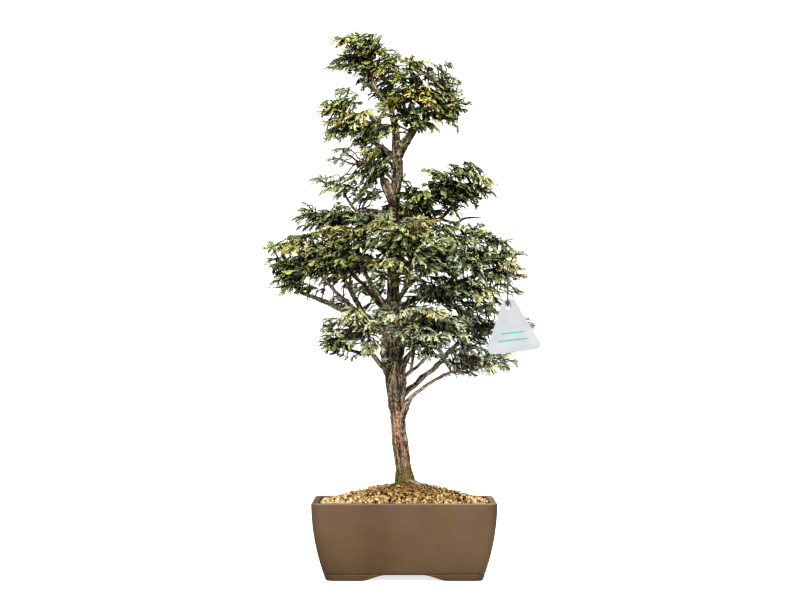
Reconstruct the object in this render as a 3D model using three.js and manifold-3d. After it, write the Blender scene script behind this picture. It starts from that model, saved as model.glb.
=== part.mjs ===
// A hinoki cypress bonsai in an unglazed rectangular pot, in millimetres, +Z up, front towards -Y.
// The origin lies on the surface that the pot stands on, under the middle of the crown's spread.
// The pot stands on four bracket feet. Soil fills it and rises in a mound to the trunk, and the
// limbs, the foliage on them, the moss and the hanging label are pieces of their own.
import * as THREE from "three";
import { mergeVertices } from "three/addons/utils/BufferGeometryUtils.js";
import Module from "manifold-3d";

// Driving dimensions
const GAP = 0.3; // between pieces that touch
const POT_X = 6.7; // the pot's middle, right of the origin
const POT_WIDTH = 154.4; // at the rim
const POT_DEPTH = 112;
const POT_HEIGHT = 65;
const POT_TAPER = 12; // how far each side comes in from rim to foot
const POT_CORNER = 9; // corner radius seen from above
const POT_WALL = 6;
const POT_FLOOR = 7; // thickness of the floor
const FOOT_HEIGHT = 5;
const FOOT_BAND = 11; // width of the band that the feet leave round the underside
const FRONT_ARCH = { open: 37, flat: 15 }; // half widths of the arch, on the table and at its top
const SIDE_ARCH = { open: 23, flat: 10 };
const DRAIN_RADIUS = 6.5;
const DRAIN_OFFSET = 36; // of each drain hole from the pot's middle
const SCREEN_SIZE = 27;
const SCREEN_THICKNESS = 0.8;
const CLIP_RADIUS = 0.6;
const CLIP_LEG = 4; // half distance between a clip's two legs
const CLIP_FOOT = 13; // reach of a clip's bent ends under the floor
const SOIL_EDGE = 62.5; // height of the soil along the rim
const SOIL_RISE = 16; // height of the mound above that edge
const MOUND_X = 74; // reach of the mound from the trunk
const MOUND_Y = 54;
const TRUNK_X = 7.7; // the trunk's middle at the soil
const LABEL_HOLE = new THREE.Vector3(92.8, -38, 227);
const LABEL_THICKNESS = 0.8;
const LABEL_TURN = 6.5; // degrees that the label hangs out of plumb
const CORD_RADIUS = 0.65;
const CORD_FRONT = LABEL_HOLE.y - LABEL_THICKNESS / 2 - GAP - CORD_RADIUS;

const SIDES = { trunk: 10, limb: 5, wire: 6, cord: 8 };

// Colours
const CLAY = 0x78603f;
const GRIT = 0xc9a56c;
const PLASTIC_MESH = 0x24272a;
const WIRE = 0x9a938a;
const MOSS = 0x8f9c2c;
const BARK = 0x6e5646;
const LEAF_TOP = 0x7f8a3c;
const LEAF_LOW = 0x6f7f55;
const LABEL_WHITE = 0xf2f4f3;
const CORD_BROWN = 0x6b5138;

const wasm = await Module();
wasm.setup();

const bonsai = new THREE.Group();

// ---------------------------------------------------------------------------------------------
// Solids from rings and from three.js geometries

// A closed surface through rings of equally many points, each turning anticlockwise about the way
// from the first ring to the last.
function loft(rings) {
  const count = rings[0].length;
  const ends = [rings[0], rings.at(-1)].map((ring) =>
    ring.reduce((sum, p) => sum.add(p), new THREE.Vector3()).divideScalar(count),
  );
  const points = [...rings.flat(), ...ends];
  const first = points.length - 2;
  const last = points.length - 1;
  const top = (rings.length - 1) * count;
  const index = [];
  for (let j = 0; j < count; j++) {
    const next = (j + 1) % count;
    for (let ring = 0; ring < top; ring += count) {
      index.push(ring + j, ring + next, ring + count + next);
      index.push(ring + j, ring + count + next, ring + count + j);
    }
    index.push(first, next, j);
    index.push(last, top + j, top + next);
  }
  return new THREE.BufferGeometry().setFromPoints(points).setIndex(index);
}

function solidOf(geometry) {
  const bare = geometry.clone();
  bare.deleteAttribute("normal");
  bare.deleteAttribute("uv");
  const merged = mergeVertices(bare, 1e-4);
  const vertProperties = merged.getAttribute("position").array;
  const triVerts = new Uint32Array(merged.index.array);
  return new wasm.Manifold(new wasm.Mesh({ numProp: 3, vertProperties, triVerts }));
}

function geometryOf(solid) {
  const mesh = solid.getMesh();
  const geometry = new THREE.BufferGeometry();
  geometry.setAttribute("position", new THREE.BufferAttribute(mesh.vertProperties, 3));
  geometry.setIndex(new THREE.BufferAttribute(mesh.triVerts, 1));
  return geometry;
}

// The largest of a solid's separate bodies, for what a cut leaves as crumbs beside it.
function largest(solid) {
  return solid.decompose().reduce((a, b) => (b.volume() > a.volume() ? b : a));
}

function add(name, solid, color, roughness, metalness = 0) {
  const material = new THREE.MeshStandardMaterial({ color, roughness, metalness });
  const mesh = new THREE.Mesh(geometryOf(solid), material);
  mesh.name = name;
  bonsai.add(mesh);
}

function box(width, depth, height, x, y, bottom) {
  const geometry = new THREE.BoxGeometry(width, depth, height);
  return solidOf(geometry.translate(x, y, bottom + height / 2));
}

// ---------------------------------------------------------------------------------------------
// Pot: stoneware, its sides near upright at the rim and drawn in towards the feet

const CORNER_STEPS = 4;

function roundedRing(width, depth, radius, heightAt) {
  const ring = [];
  for (let corner = 0; corner < 4; corner++) {
    const middle = ((corner + 0.5) * Math.PI) / 2;
    const x = Math.sign(Math.cos(middle)) * (width / 2 - radius);
    const y = Math.sign(Math.sin(middle)) * (depth / 2 - radius);
    for (let step = 0; step <= CORNER_STEPS; step++) {
      const angle = ((corner + step / CORNER_STEPS) * Math.PI) / 2;
      const px = POT_X + x + radius * Math.cos(angle);
      const py = y + radius * Math.sin(angle);
      ring.push(new THREE.Vector3(px, py, heightAt(px, py)));
    }
  }
  return ring;
}

function potRing(z, inset) {
  const drawnIn = POT_TAPER * (1 - Math.min(z, POT_HEIGHT) / POT_HEIGHT) ** 2 + inset;
  const radius = Math.max(POT_CORNER - inset, 3);
  return roundedRing(POT_WIDTH - 2 * drawnIn, POT_DEPTH - 2 * drawnIn, radius, () => z);
}

// An arch with ogee shoulders, as a bar that runs through under the pot along Y.
function archBar({ open, flat }, length) {
  const shape = new THREE.Shape();
  const shoulder = (open + flat) / 2;
  shape.moveTo(-open, -1);
  shape.lineTo(-open, 0);
  shape.bezierCurveTo(-shoulder, 0, -shoulder, FOOT_HEIGHT, -flat, FOOT_HEIGHT);
  shape.lineTo(flat, FOOT_HEIGHT);
  shape.bezierCurveTo(shoulder, FOOT_HEIGHT, shoulder, 0, open, 0);
  shape.lineTo(open, -1);
  const options = { depth: length, bevelEnabled: false, curveSegments: 5 };
  const bar = new THREE.ExtrudeGeometry(shape, options);
  return bar.rotateX(Math.PI / 2).translate(0, length / 2, 0);
}

const potFloorTop = FOOT_HEIGHT + POT_FLOOR;
const outerHeights = [0, FOOT_HEIGHT, 11, 19, 29, 41, 53, POT_HEIGHT];
const innerHeights = [potFloorTop, 19, 29, 41, 53, POT_HEIGHT + 1];
const frontArch = archBar(FRONT_ARCH, POT_DEPTH * 1.2).translate(POT_X, 0, 0);
const sideArch = archBar(SIDE_ARCH, POT_WIDTH * 1.2).rotateZ(Math.PI / 2).translate(POT_X, 0, 0);
const bandWidth = POT_WIDTH - 2 * POT_TAPER - 2 * FOOT_BAND;
const bandDepth = POT_DEPTH - 2 * POT_TAPER - 2 * FOOT_BAND;
const drainPlaces = [POT_X - DRAIN_OFFSET, POT_X + DRAIN_OFFSET];

let pot = solidOf(loft(outerHeights.map((z) => potRing(z, 0))));
pot = pot.subtract(solidOf(loft(innerHeights.map((z) => potRing(z, POT_WALL)))));
pot = pot.subtract(solidOf(frontArch)).subtract(solidOf(sideArch));
pot = pot.subtract(box(bandWidth, bandDepth, FOOT_HEIGHT + 1, POT_X, 0, -1));
for (const x of drainPlaces) {
  const hole = new THREE.CylinderGeometry(DRAIN_RADIUS, DRAIN_RADIUS, POT_FLOOR * 2, 14);
  hole.rotateX(Math.PI / 2).translate(x, 0, FOOT_HEIGHT + POT_FLOOR / 2);
  pot = pot.subtract(solidOf(hole));
}
add("pot", pot, CLAY, 0.85);

// ---------------------------------------------------------------------------------------------
// Limbs: tapering tubes along smooth routes, each point of a route being x, y, z and radius

function limb(route, sides, grow = 0, stepsPerPoint = 1.5) {
  const points = route.map(([x, y, z]) => new THREE.Vector3(x, y, z));
  if (grow) {
    points[0].add(points[0].clone().sub(points[1]).setLength(grow));
    points.at(-1).add(points.at(-1).clone().sub(points.at(-2)).setLength(grow));
  }
  const curve = new THREE.CatmullRomCurve3(points, false, "centripetal");
  const steps = Math.max(3, Math.round((route.length - 1) * stepsPerPoint));
  const frames = curve.computeFrenetFrames(steps, false);
  const rings = [];
  for (let i = 0; i <= steps; i++) {
    const u = curve.getUtoTmapping(i / steps) * (route.length - 1);
    const before = Math.min(Math.floor(u), route.length - 2);
    const radius = THREE.MathUtils.lerp(route[before][3], route[before + 1][3], u - before) + grow;
    const centre = curve.getPointAt(i / steps);
    const ring = [];
    for (let j = 0; j < sides; j++) {
      const angle = (2 * Math.PI * j) / sides;
      const point = centre.clone();
      point.addScaledVector(frames.normals[i], radius * Math.cos(angle));
      point.addScaledVector(frames.binormals[i], radius * Math.sin(angle));
      ring.push(point);
    }
    rings.push(ring);
  }
  return solidOf(loft(rings));
}

function joined(routes, sides, grow) {
  return routes.map((route) => limb(route, sides, grow)).reduce((a, b) => a.add(b));
}

// The trunk with the leader that it ends in, an old cut stub and one root that runs on the soil.
const TRUNK_ROUTES = [
  [
    [TRUNK_X, 0, 58, 8],
    [TRUNK_X, 0, 70, 10],
    [TRUNK_X, 0, 78, 8.2],
    [6, 0, 92, 5.8],
    [4.2, 0, 107, 6.1],
    [2.2, 0, 123, 5.8],
    [1.2, 0, 138, 6.2],
    [0.3, 0, 150, 7],
    [0.2, 0, 160, 8],
    [-0.7, 0, 170, 8],
    [-2, 0, 182, 6.2],
    [-2.4, 0, 192, 5.2],
    [-2.8, 1, 237, 4.7],
    [-2.2, 2, 280, 4.2],
    [-1.9, 2, 321, 4],
    [1.3, 1, 342, 3.5],
    [0.2, 0, 363, 3.4],
    [-1.1, 0, 384, 2.3],
    [-3.6, 0, 395, 2],
    [-1.9, 0, 403, 1.9],
    [-3.6, 0, 413, 1.8],
    [-9, 0, 421, 1.5],
    [-19, 0, 429, 1.2],
    [-24, -2, 438, 1],
  ],
  [
    [-2.6, 0, 316, 3.6],
    [-6, -2, 326, 3.4],
    [-10.8, -3, 335.6, 2.9],
  ],
  [
    [TRUNK_X, 0, 76, 4],
    [13, -8, 76.5, 2.4],
    [17, -15, 74, 1.6],
    [19, -20, 70, 1],
  ],
];
const trunk = joined(TRUNK_ROUTES, SIDES.trunk);
const trunkClearance = joined(TRUNK_ROUTES, SIDES.trunk, GAP);
add("trunk", trunk, BARK, 0.9);

// Every limb starts inside the trunk, and is cut back to leave the gap round the bark.
const LIMBS = {
  branch_lowest_right: [
    [
      [2, -2, 147, 1.6],
      [11, -5, 150, 1.5],
      [26, -9, 160, 1.3],
      [38, -12, 168.5, 1.2],
      [49, -14, 174, 1],
      [62, -15, 177, 0.8],
    ],
  ],
  branch_low_right: [
    [
      [2, 2, 150, 2.3],
      [13, 4, 161, 2.2],
      [22, 7, 168, 2],
      [32, 10, 176, 2.1],
      [39, 13, 183, 1.8],
      [44, 15, 189, 2],
      [54, 18, 198, 1.6],
      [63, 21, 201, 1.4],
      [78, 24, 207, 1.1],
    ],
  ],
  branch_low_front_right: [
    [
      [1, -3, 164, 1.4],
      [12.5, -10, 174, 1.3],
      [23.5, -20, 184, 1.2],
      [30, -28, 196, 1],
    ],
    [
      [12.5, -10, 174, 1.2],
      [14, -18, 184, 1.1],
      [15, -26, 193, 0.9],
    ],
  ],
  branch_low_left: [
    [
      [-2, -2, 166, 2],
      [-16, -9, 183, 1.9],
      [-24.4, -14, 193.5, 1.7],
      [-30, -19, 202, 1.3],
      [-36, -23, 209, 1],
    ],
    [
      [-24.4, -14, 193.5, 1.4],
      [-23, -21, 201, 1.2],
      [-23, -29, 208, 1],
    ],
    [
      [-20, -11.5, 188, 1.4],
      [-34.5, -17, 190, 1.3],
      [-47, -21, 195, 1],
    ],
  ],
  branch_left: [
    [
      [-2.5, 1, 200, 2.8],
      [-18, 3, 213, 2.6],
      [-34, 5, 224.5, 2.4],
      [-45, 6, 226.5, 2],
      [-54, 7, 230, 1.8],
      [-63, 8, 235.5, 1.6],
      [-73, 8, 239, 1.4],
      [-88, 8, 248, 1],
    ],
    [
      [-34, 5, 224.5, 1.9],
      [-42.6, -1, 232.5, 1.7],
      [-49.4, -6, 238.4, 1.5],
      [-55, -11, 245, 1.3],
      [-63, -16, 254, 1],
    ],
  ],
  branch_left_upper: [
    [
      [-2.6, -1, 214, 2.1],
      [-9, -4, 230, 1.8],
      [-20, -9, 248, 1.6],
      [-31, -15, 265, 1.1],
    ],
  ],
  branch_front: [
    [
      [-2.6, -1, 216, 1.9],
      [0, -9, 225, 1.7],
      [4, -20, 237, 1.5],
      [9, -32, 250, 1.3],
      [12, -42, 264, 1],
    ],
  ],
  branch_right: [
    [
      [-2.4, 1, 224, 2.5],
      [20, 4, 237, 2.2],
      [42, 5, 246, 2],
      [58, 4, 251, 1.7],
      [74, 2, 258, 1.2],
      [88, 0, 262, 0.9],
    ],
    [
      [42, 5, 246, 1.5],
      [52, -4, 256, 1.3],
      [61, -12, 266, 1],
    ],
  ],
  branch_left_third: [
    [
      [-2.3, 2, 268, 1.8],
      [-24, 5, 284, 1.5],
      [-45, 6, 294, 1.3],
      [-66, 5, 302, 0.9],
    ],
  ],
  branch_upper_right: [
    [
      [-2, 1, 282, 2.1],
      [18, 2, 298, 1.8],
      [37, 3, 303, 1.6],
      [47, 2, 312, 1.3],
      [58, 1, 322, 1.1],
      [70, -1, 328, 0.8],
    ],
    [
      [37, 3, 303, 1.1],
      [50.7, 1, 299.5, 1],
      [58.3, 0, 303.5, 0.8],
      [71.5, -2, 303.5, 0.6],
    ],
  ],
  branch_upper_left: [
    [
      [-1.9, 1, 306, 1.6],
      [-20.6, -4, 310, 1.4],
      [-34, -6, 310.6, 1.2],
      [-39.6, -7, 316.5, 1.1],
      [-44, -8, 324, 1],
      [-48, -9, 331, 0.9],
      [-62, -10, 333, 0.7],
    ],
  ],
  branch_mid_left: [
    [
      [0.2, 0, 334, 1.5],
      [-9, -6, 341, 1.3],
      [-19, -10, 347, 1.1],
      [-28, -12, 350, 0.8],
    ],
  ],
  branch_top_left: [
    [
      [0.4, 0, 352, 1.9],
      [-9.5, -4, 362, 1.7],
      [-18, -6, 366, 1.5],
      [-25, -8, 375, 1.3],
      [-38, -10, 387, 1.1],
      [-52, -11, 394, 0.8],
    ],
  ],
  branch_crown_right: [
    [
      [0.2, 0, 360, 2.6],
      [6, -1, 370, 2.5],
      [13.4, -2, 376.6, 2.4],
      [22, -3, 381, 1.9],
      [34, -3, 391, 1.4],
      [46, -2, 400, 1],
    ],
  ],
  branch_back_low: [
    [
      [-1, 1, 176, 2.4],
      [5, 16, 192, 2.1],
      [4, 34, 206, 1.7],
      [2, 50, 214, 1.1],
    ],
  ],
  branch_back_left: [
    [
      [-2.6, 2, 208, 2.2],
      [-14, 20, 229, 1.9],
      [-28, 36, 247, 1.6],
      [-42, 47, 260, 1],
    ],
  ],
  branch_back_right: [
    [
      [-2.6, 2, 226, 2.1],
      [10, 20, 246, 1.8],
      [26, 34, 259, 1.5],
      [40, 43, 267, 1],
    ],
  ],
  branch_back_upper: [
    [
      [-2.1, 3, 276, 1.9],
      [-4, 18, 294, 1.6],
      [-6, 34, 306, 1],
    ],
  ],
  branch_back_top: [
    [
      [1, 2, 338, 1.6],
      [-4, 13, 350, 1.4],
      [-11, 24, 359, 0.9],
    ],
  ],
};

const limbClearances = [];
for (const [name, routes] of Object.entries(LIMBS)) {
  let wood = joined(routes, SIDES.limb).subtract(trunkClearance);
  for (const other of limbClearances) wood = wood.subtract(other);
  add(name, largest(wood), BARK, 0.9);
  limbClearances.push(joined(routes, SIDES.limb, GAP));
}

// ---------------------------------------------------------------------------------------------
// Drain screens on the pot's floor, each held by a bent wire clip through the hole below it

const screenBottom = potFloorTop + GAP;
const screenTop = screenBottom + SCREEN_THICKNESS;
const clipTop = screenTop + GAP + CLIP_RADIUS;
const clipBottom = FOOT_HEIGHT - GAP - CLIP_RADIUS;
const soilRoom = [];

function wire(points, radius, sides) {
  const section = new THREE.Shape();
  for (let j = 0; j < sides; j++) {
    const angle = (2 * Math.PI * j) / sides;
    section[j ? "lineTo" : "moveTo"](radius * Math.cos(angle), radius * Math.sin(angle));
  }
  const extrudePath = new THREE.CatmullRomCurve3(points, false, "catmullrom", 0.15);
  const steps = points.length * 2;
  return solidOf(new THREE.ExtrudeGeometry(section, { steps, extrudePath, bevelEnabled: false }));
}

drainPlaces.forEach((x, i) => {
  const side = i ? "right" : "left";
  const half = [
    [CLIP_FOOT, clipBottom],
    [CLIP_LEG + 1, clipBottom],
    [CLIP_LEG, clipBottom + 1],
    [CLIP_LEG, clipTop - 1],
    [CLIP_LEG - 1, clipTop],
  ];
  const places = [...half.map(([y, z]) => [-y, z]), ...half.toReversed()];
  const points = places.map(([y, z]) => new THREE.Vector3(x, y, z));
  const clip = wire(points, CLIP_RADIUS, SIDES.wire);
  const clipRoom = wire(points, CLIP_RADIUS + GAP, SIDES.wire);
  const grown = SCREEN_SIZE + 2 * GAP;
  const screen = box(SCREEN_SIZE, SCREEN_SIZE, SCREEN_THICKNESS, x, 0, screenBottom);
  add(`drain_screen_${side}`, screen.subtract(clipRoom), PLASTIC_MESH, 0.6);
  add(`screen_clip_${side}`, clip, WIRE, 0.4, 0.9);
  soilRoom.push(box(grown, grown, SCREEN_THICKNESS + 2 * GAP, x, 0, potFloorTop), clipRoom);
});

// ---------------------------------------------------------------------------------------------
// Soil: baked clay and pumice grit, level with the rim at its edge and mounded to the trunk

function moundHeight(x, y) {
  const reach = Math.min(1, Math.hypot((x - TRUNK_X) / MOUND_X, y / MOUND_Y));
  return SOIL_EDGE + SOIL_RISE * (1 - reach ** 1.5);
}

const soilInset = POT_WALL + GAP;
const soilRings = [potFloorTop + GAP, 19, 29, 41, 53].map((z) => potRing(z, soilInset));
for (const share of [1, 0.84, 0.66, 0.46, 0.24]) {
  const width = (POT_WIDTH - 2 * soilInset) * share;
  const depth = (POT_DEPTH - 2 * soilInset) * share;
  soilRings.push(roundedRing(width, depth, (2 + depth / 2) * (1 - share) + 3 * share, moundHeight));
}
let soil = solidOf(loft(soilRings)).subtract(trunkClearance);
for (const room of soilRoom) soil = soil.subtract(room);
add("soil", largest(soil), GRIT, 0.95);

// ---------------------------------------------------------------------------------------------
// Lumpy closed bodies: a sphere drawn out to three radii, with gentle swellings over it

function lump([x, y, z, rx, ry, rz], grow = 0, around = 11, rows = 7) {
  const sphere = new THREE.SphereGeometry(1, around, rows);
  sphere.rotateX(Math.PI / 2);
  const place = sphere.getAttribute("position");
  for (let i = 0; i < place.count; i++) {
    const p = new THREE.Vector3().fromBufferAttribute(place, i);
    const wave = Math.sin(3 * p.x + x) * Math.cos(2 * p.y + y) + Math.sin(4 * p.z + 2 * p.x + z);
    const swell = 1 + 0.06 * wave;
    place.setXYZ(
      i,
      x + p.x * (rx * swell + grow),
      y + p.y * (ry * swell + grow),
      z + p.z * (rz * swell + grow),
    );
  }
  return solidOf(sphere);
}

// Moss: two low cushions on the soil against the foot of the trunk
const MOSS_CUSHIONS = {
  moss_right: [TRUNK_X + 9, -3, 78, 7, 8, 4],
  moss_left: [TRUNK_X - 9, -4, 77.5, 5, 7, 3],
};
const soilLifted = solidOf(loft(soilRings)).translate([0, 0, GAP]);
for (const [name, cushion] of Object.entries(MOSS_CUSHIONS)) {
  const moss = lump(cushion).subtract(trunkClearance).subtract(soilLifted);
  add(name, largest(moss), MOSS, 0.95);
}

// ---------------------------------------------------------------------------------------------
// Label: a white plastic tab, hung from the foliage on the right by a thin cord

const CORD_POINTS = [
  [LABEL_HOLE.x, LABEL_HOLE.y + 12, 265],
  [LABEL_HOLE.x, LABEL_HOLE.y + 6, 264.6],
  [LABEL_HOLE.x, LABEL_HOLE.y + 1.5, 262.4],
  [LABEL_HOLE.x, CORD_FRONT, 257],
  [LABEL_HOLE.x, CORD_FRONT, 247],
  [LABEL_HOLE.x, CORD_FRONT, 237],
  [LABEL_HOLE.x, CORD_FRONT, LABEL_HOLE.z],
].map((p) => new THREE.Vector3(...p));
const cordClearance = wire(CORD_POINTS, CORD_RADIUS + GAP, SIDES.cord);
add("label_cord", wire(CORD_POINTS, CORD_RADIUS, SIDES.cord), CORD_BROWN, 0.8);

const LABEL_AXIS = 1.4; // the label's middle line, right of its hole
const LABEL_TOP = { half: 4.6, z: 6.6 };
const LABEL_CORNER = { half: 22.7, z: -33.3 };
const LABEL_BOTTOM = { half: 19.7, z: -37.6 };
const LABEL_HOLE_RADIUS = 1.9;

const labelShape = new THREE.Shape();
labelShape.moveTo(LABEL_AXIS - LABEL_TOP.half, LABEL_TOP.z);
for (const { half, z } of [LABEL_CORNER, LABEL_BOTTOM]) labelShape.lineTo(LABEL_AXIS - half, z);
for (const { half, z } of [LABEL_BOTTOM, LABEL_CORNER]) labelShape.lineTo(LABEL_AXIS + half, z);
labelShape.lineTo(LABEL_AXIS + LABEL_TOP.half, LABEL_TOP.z);
const labelHole = new THREE.Path().absarc(0, 0, LABEL_HOLE_RADIUS, 0, 2 * Math.PI, true);
labelShape.holes.push(labelHole);
const labelOptions = { depth: LABEL_THICKNESS, bevelEnabled: false, curveSegments: 5 };
const labelPlate = new THREE.ExtrudeGeometry(labelShape, labelOptions);
labelPlate.translate(0, 0, -LABEL_THICKNESS / 2).rotateX(Math.PI / 2);
labelPlate.rotateY(THREE.MathUtils.degToRad(-LABEL_TURN));
labelPlate.translate(LABEL_HOLE.x, LABEL_HOLE.y, LABEL_HOLE.z);
const label = solidOf(labelPlate);
add("label", label, LABEL_WHITE, 0.35);

// ---------------------------------------------------------------------------------------------
// Foliage: one closed body for the sprays that each limb carries, made of a few lumps and open
// along the wood that grows through it. Each lump is x, y, z of its middle and its three radii.

const FOLIAGE = {
  foliage_apex: [
    [-27, 0, 441, 28, 24, 16],
    [-38, -4, 451, 15, 15, 10],
    [-6, 2, 432, 11, 14, 12],
  ],
  foliage_crown_right: [
    [36, -2, 401, 24, 25, 20],
    [14, -2, 432, 14, 16, 10],
    [27, -2, 417, 17, 17, 14],
    [14, -4, 400, 13, 16, 17],
  ],
  foliage_top_left: [
    [-45, -8, 391, 26, 25, 17],
    [-19, -3, 384, 13, 13, 11],
  ],
  foliage_mid_left: [[-22, -11, 347, 17, 18, 17]],
  foliage_upper_right: [
    [53, -3, 329, 31, 29, 19],
    [22, -6, 322, 16, 17, 15],
  ],
  foliage_upper_left: [[-56, -9, 331, 16, 13, 9]],
  foliage_left_third: [
    [-64, 3, 303, 20, 23, 12],
    [-38, 5, 299, 13, 17, 10],
  ],
  foliage_left: [
    [-80, 0, 261, 33, 36, 23],
    [-46, -16, 273, 28, 32, 21],
  ],
  foliage_front: [
    [8, -40, 270, 36, 30, 29],
    [2, -30, 292, 26, 24, 15],
  ],
  foliage_right: [
    [78, -4, 266, 31, 34, 27],
    [50, 0, 272, 20, 28, 24],
  ],
  foliage_low_left: [
    [-40, -22, 208, 28, 30, 18],
    [-18, -34, 210, 18, 22, 15],
  ],
  foliage_low_right: [[31, -32, 207, 28, 29, 21]],
  foliage_low_right_back: [
    [76, 22, 214, 28, 27, 19],
    [98, 20, 216, 14, 14, 9],
  ],
  foliage_lowest_right: [[68, -10, 181, 29, 22, 12]],
  foliage_back_low: [[2, 46, 216, 40, 23, 20]],
  foliage_back_left: [[-44, 44, 266, 34, 28, 14]],
  foliage_back_right: [[40, 43, 270, 32, 28, 18]],
  foliage_back_upper: [[-6, 40, 312, 36, 25, 17]],
  foliage_back_top: [[-14, 28, 361, 24, 20, 13]],
};
const LOW_FOLIAGE = /_low/;

const woodClearance = [trunkClearance, ...limbClearances].reduce((a, b) => a.add(b));
let taken = woodClearance.add(cordClearance);
for (const [name, lumps] of Object.entries(FOLIAGE)) {
  const body = lumps.map((one) => lump(one)).reduce((a, b) => a.add(b));
  const room = lumps.map((one) => lump(one, GAP)).reduce((a, b) => a.add(b));
  add(name, largest(body.subtract(taken)), LOW_FOLIAGE.test(name) ? LEAF_LOW : LEAF_TOP, 0.8);
  taken = taken.add(room);
}

export default bonsai;
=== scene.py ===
"""The finish of a hinoki cypress bonsai in its pot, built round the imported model.

Shapes are worked out in millimetres, +Z up, front towards -Y, and turned into metres as each
piece's mesh is made.
"""

import math

import bpy
import numpy as np
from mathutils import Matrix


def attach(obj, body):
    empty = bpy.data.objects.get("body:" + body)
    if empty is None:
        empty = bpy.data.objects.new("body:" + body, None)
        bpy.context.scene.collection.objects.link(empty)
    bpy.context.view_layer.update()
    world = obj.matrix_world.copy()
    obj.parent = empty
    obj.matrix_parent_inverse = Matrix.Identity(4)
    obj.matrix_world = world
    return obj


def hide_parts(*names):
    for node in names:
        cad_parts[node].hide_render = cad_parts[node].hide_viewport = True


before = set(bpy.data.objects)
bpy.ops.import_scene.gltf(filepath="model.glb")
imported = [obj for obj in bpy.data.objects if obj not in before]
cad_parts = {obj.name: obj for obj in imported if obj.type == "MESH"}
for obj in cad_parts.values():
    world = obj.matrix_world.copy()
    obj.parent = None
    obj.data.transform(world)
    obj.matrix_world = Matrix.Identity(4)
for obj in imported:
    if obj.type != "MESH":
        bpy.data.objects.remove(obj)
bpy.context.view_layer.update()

# ---------------------------------------------------------------------------------------------
# Camera: two metres in front of the tree, a little under half its height, and tilted up by less
# than a degree, so that the pot's rim and the front half of the soil show.

CAMERA_PLACE = (0.00318, -2.05, 0.1965)
CAMERA_TILT = 0.912  # degrees above level
CAMERA_LENS = 108.8

camera = bpy.data.objects.new("camera", bpy.data.cameras.new("camera"))
camera.data.lens = CAMERA_LENS
camera.data.sensor_width = 36
camera.location = CAMERA_PLACE
camera.rotation_euler = (math.radians(90 + CAMERA_TILT), 0, 0)
bpy.context.scene.collection.objects.link(camera)
bpy.context.scene.camera = camera
bpy.context.scene.view_settings.view_transform = "Standard"
bpy.context.scene.view_settings.look = "High Contrast"

# ---------------------------------------------------------------------------------------------
# Label: a thin white plastic tab with a hole near its narrow top. A twisted two-strand cord is
# looped over a twig of the right-hand foliage, comes down to the hole and is knotted there. The
# tab carries only printed ruled lines.

MM = 0.001
LABEL_HOLE = np.array([92.8, -38, 227])
LABEL_THICKNESS = 0.8
LABEL_TURN = math.radians(6.5)  # how far it hangs out of plumb
LABEL_CORNERS = [(-3.2, 6.6), (-21.3, -33.3), (-18.3, -37.6), (21.1, -37.6), (24.1, -33.3), (6, 6.6)]
LABEL_HOLE_RADIUS = 1.9
LABEL_EDGE = 0.16  # the bevel round its two faces
LABEL_ROUND = 1.3  # at its corners
RULED_LINES = ((-21.5, 9.5), (-27.5, 12.5))  # height from the hole and half length of each
RULED_MIDDLE, RULED_HALF_WIDTH, PRINT_PROUD = 1.4, 0.45, 0.03
CORD_DIAMETER = 0.0013
CORD_TWIST = 2.4  # mm for one turn of the strands
KNOT_SIZE = (0.55, 0.75, 0.8)
KNOT_OFFSET = (0, -1.5, 3.4)  # from the label's hole
KNOT_STRAND = 0.55  # radius of the cord where it is pulled tight
SHEET_HEIGHT, SHEET_GAP = 60, 0.4  # mm, of surfaces laid out flat
CORD_ROUTE = [
    (0.0928, -0.026, 0.265),
    (0.0928, -0.032, 0.2646),
    (0.0928, -0.0365, 0.2624),
    (0.0928, -0.03935, 0.257),
    (0.0928, -0.03935, 0.247),
    (0.0928, -0.03935, 0.237),
    (0.0928, -0.03935, 0.227),
]


def paint(red, green, blue):
    """A colour picked as sRGB numbers up to 255, as the shaders' linear one."""
    share = np.array([red, green, blue]) / 255
    linear = np.where(share <= 0.04045, share / 12.92, ((share + 0.055) / 1.055) ** 2.4)
    return (*linear.tolist(), 1)


def node(tree, kind, values=None, **settings):
    """Adds a shader node. values holds each input's number, colour or the socket that feeds it."""
    made = tree.nodes.new("ShaderNode" + kind)
    for key, value in settings.items():
        setattr(made, key, value)
    for key, value in (values or {}).items():
        if isinstance(value, bpy.types.NodeSocket):
            tree.links.new(value, made.inputs[key])
        else:
            made.inputs[key].default_value = value
    return made


def mixed(tree, factor, first, second, blend="MIX"):
    """Colour output of a mix of two colours."""
    made = node(tree, "Mix", {0: factor, 6: first, 7: second}, data_type="RGBA", blend_type=blend)
    return made.outputs[2]


def ramp(tree, factor, *stops):
    """Colour output of a ramp through (place, colour) stops."""
    made = node(tree, "ValToRGB", {0: factor})
    elements = made.color_ramp.elements
    while len(elements) < len(stops):
        elements.new(1)
    for element, (place, colour) in zip(elements, stops):
        element.position = place
        element.color = colour
    return made.outputs[0]


def attribute(tree, name, output="Fac"):
    return node(tree, "Attribute", attribute_name=name).outputs[output]


def maths(tree, operation, *values, clamp=False):
    made = node(tree, "Math", dict(enumerate(values)), operation=operation, use_clamp=clamp)
    return made.outputs[0]


def finish_of(name, roughness, **constants):
    """A new material and its tree. Constants are set on the Principled shader's own sockets."""
    material = bpy.data.materials.new(name)
    material.use_nodes = True
    shader = material.node_tree.nodes["Principled BSDF"]
    shader.inputs["Roughness"].default_value = roughness
    for socket, value in constants.items():
        shader.inputs[socket.replace("_", " ")].default_value = value
    return material, material.node_tree


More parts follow.
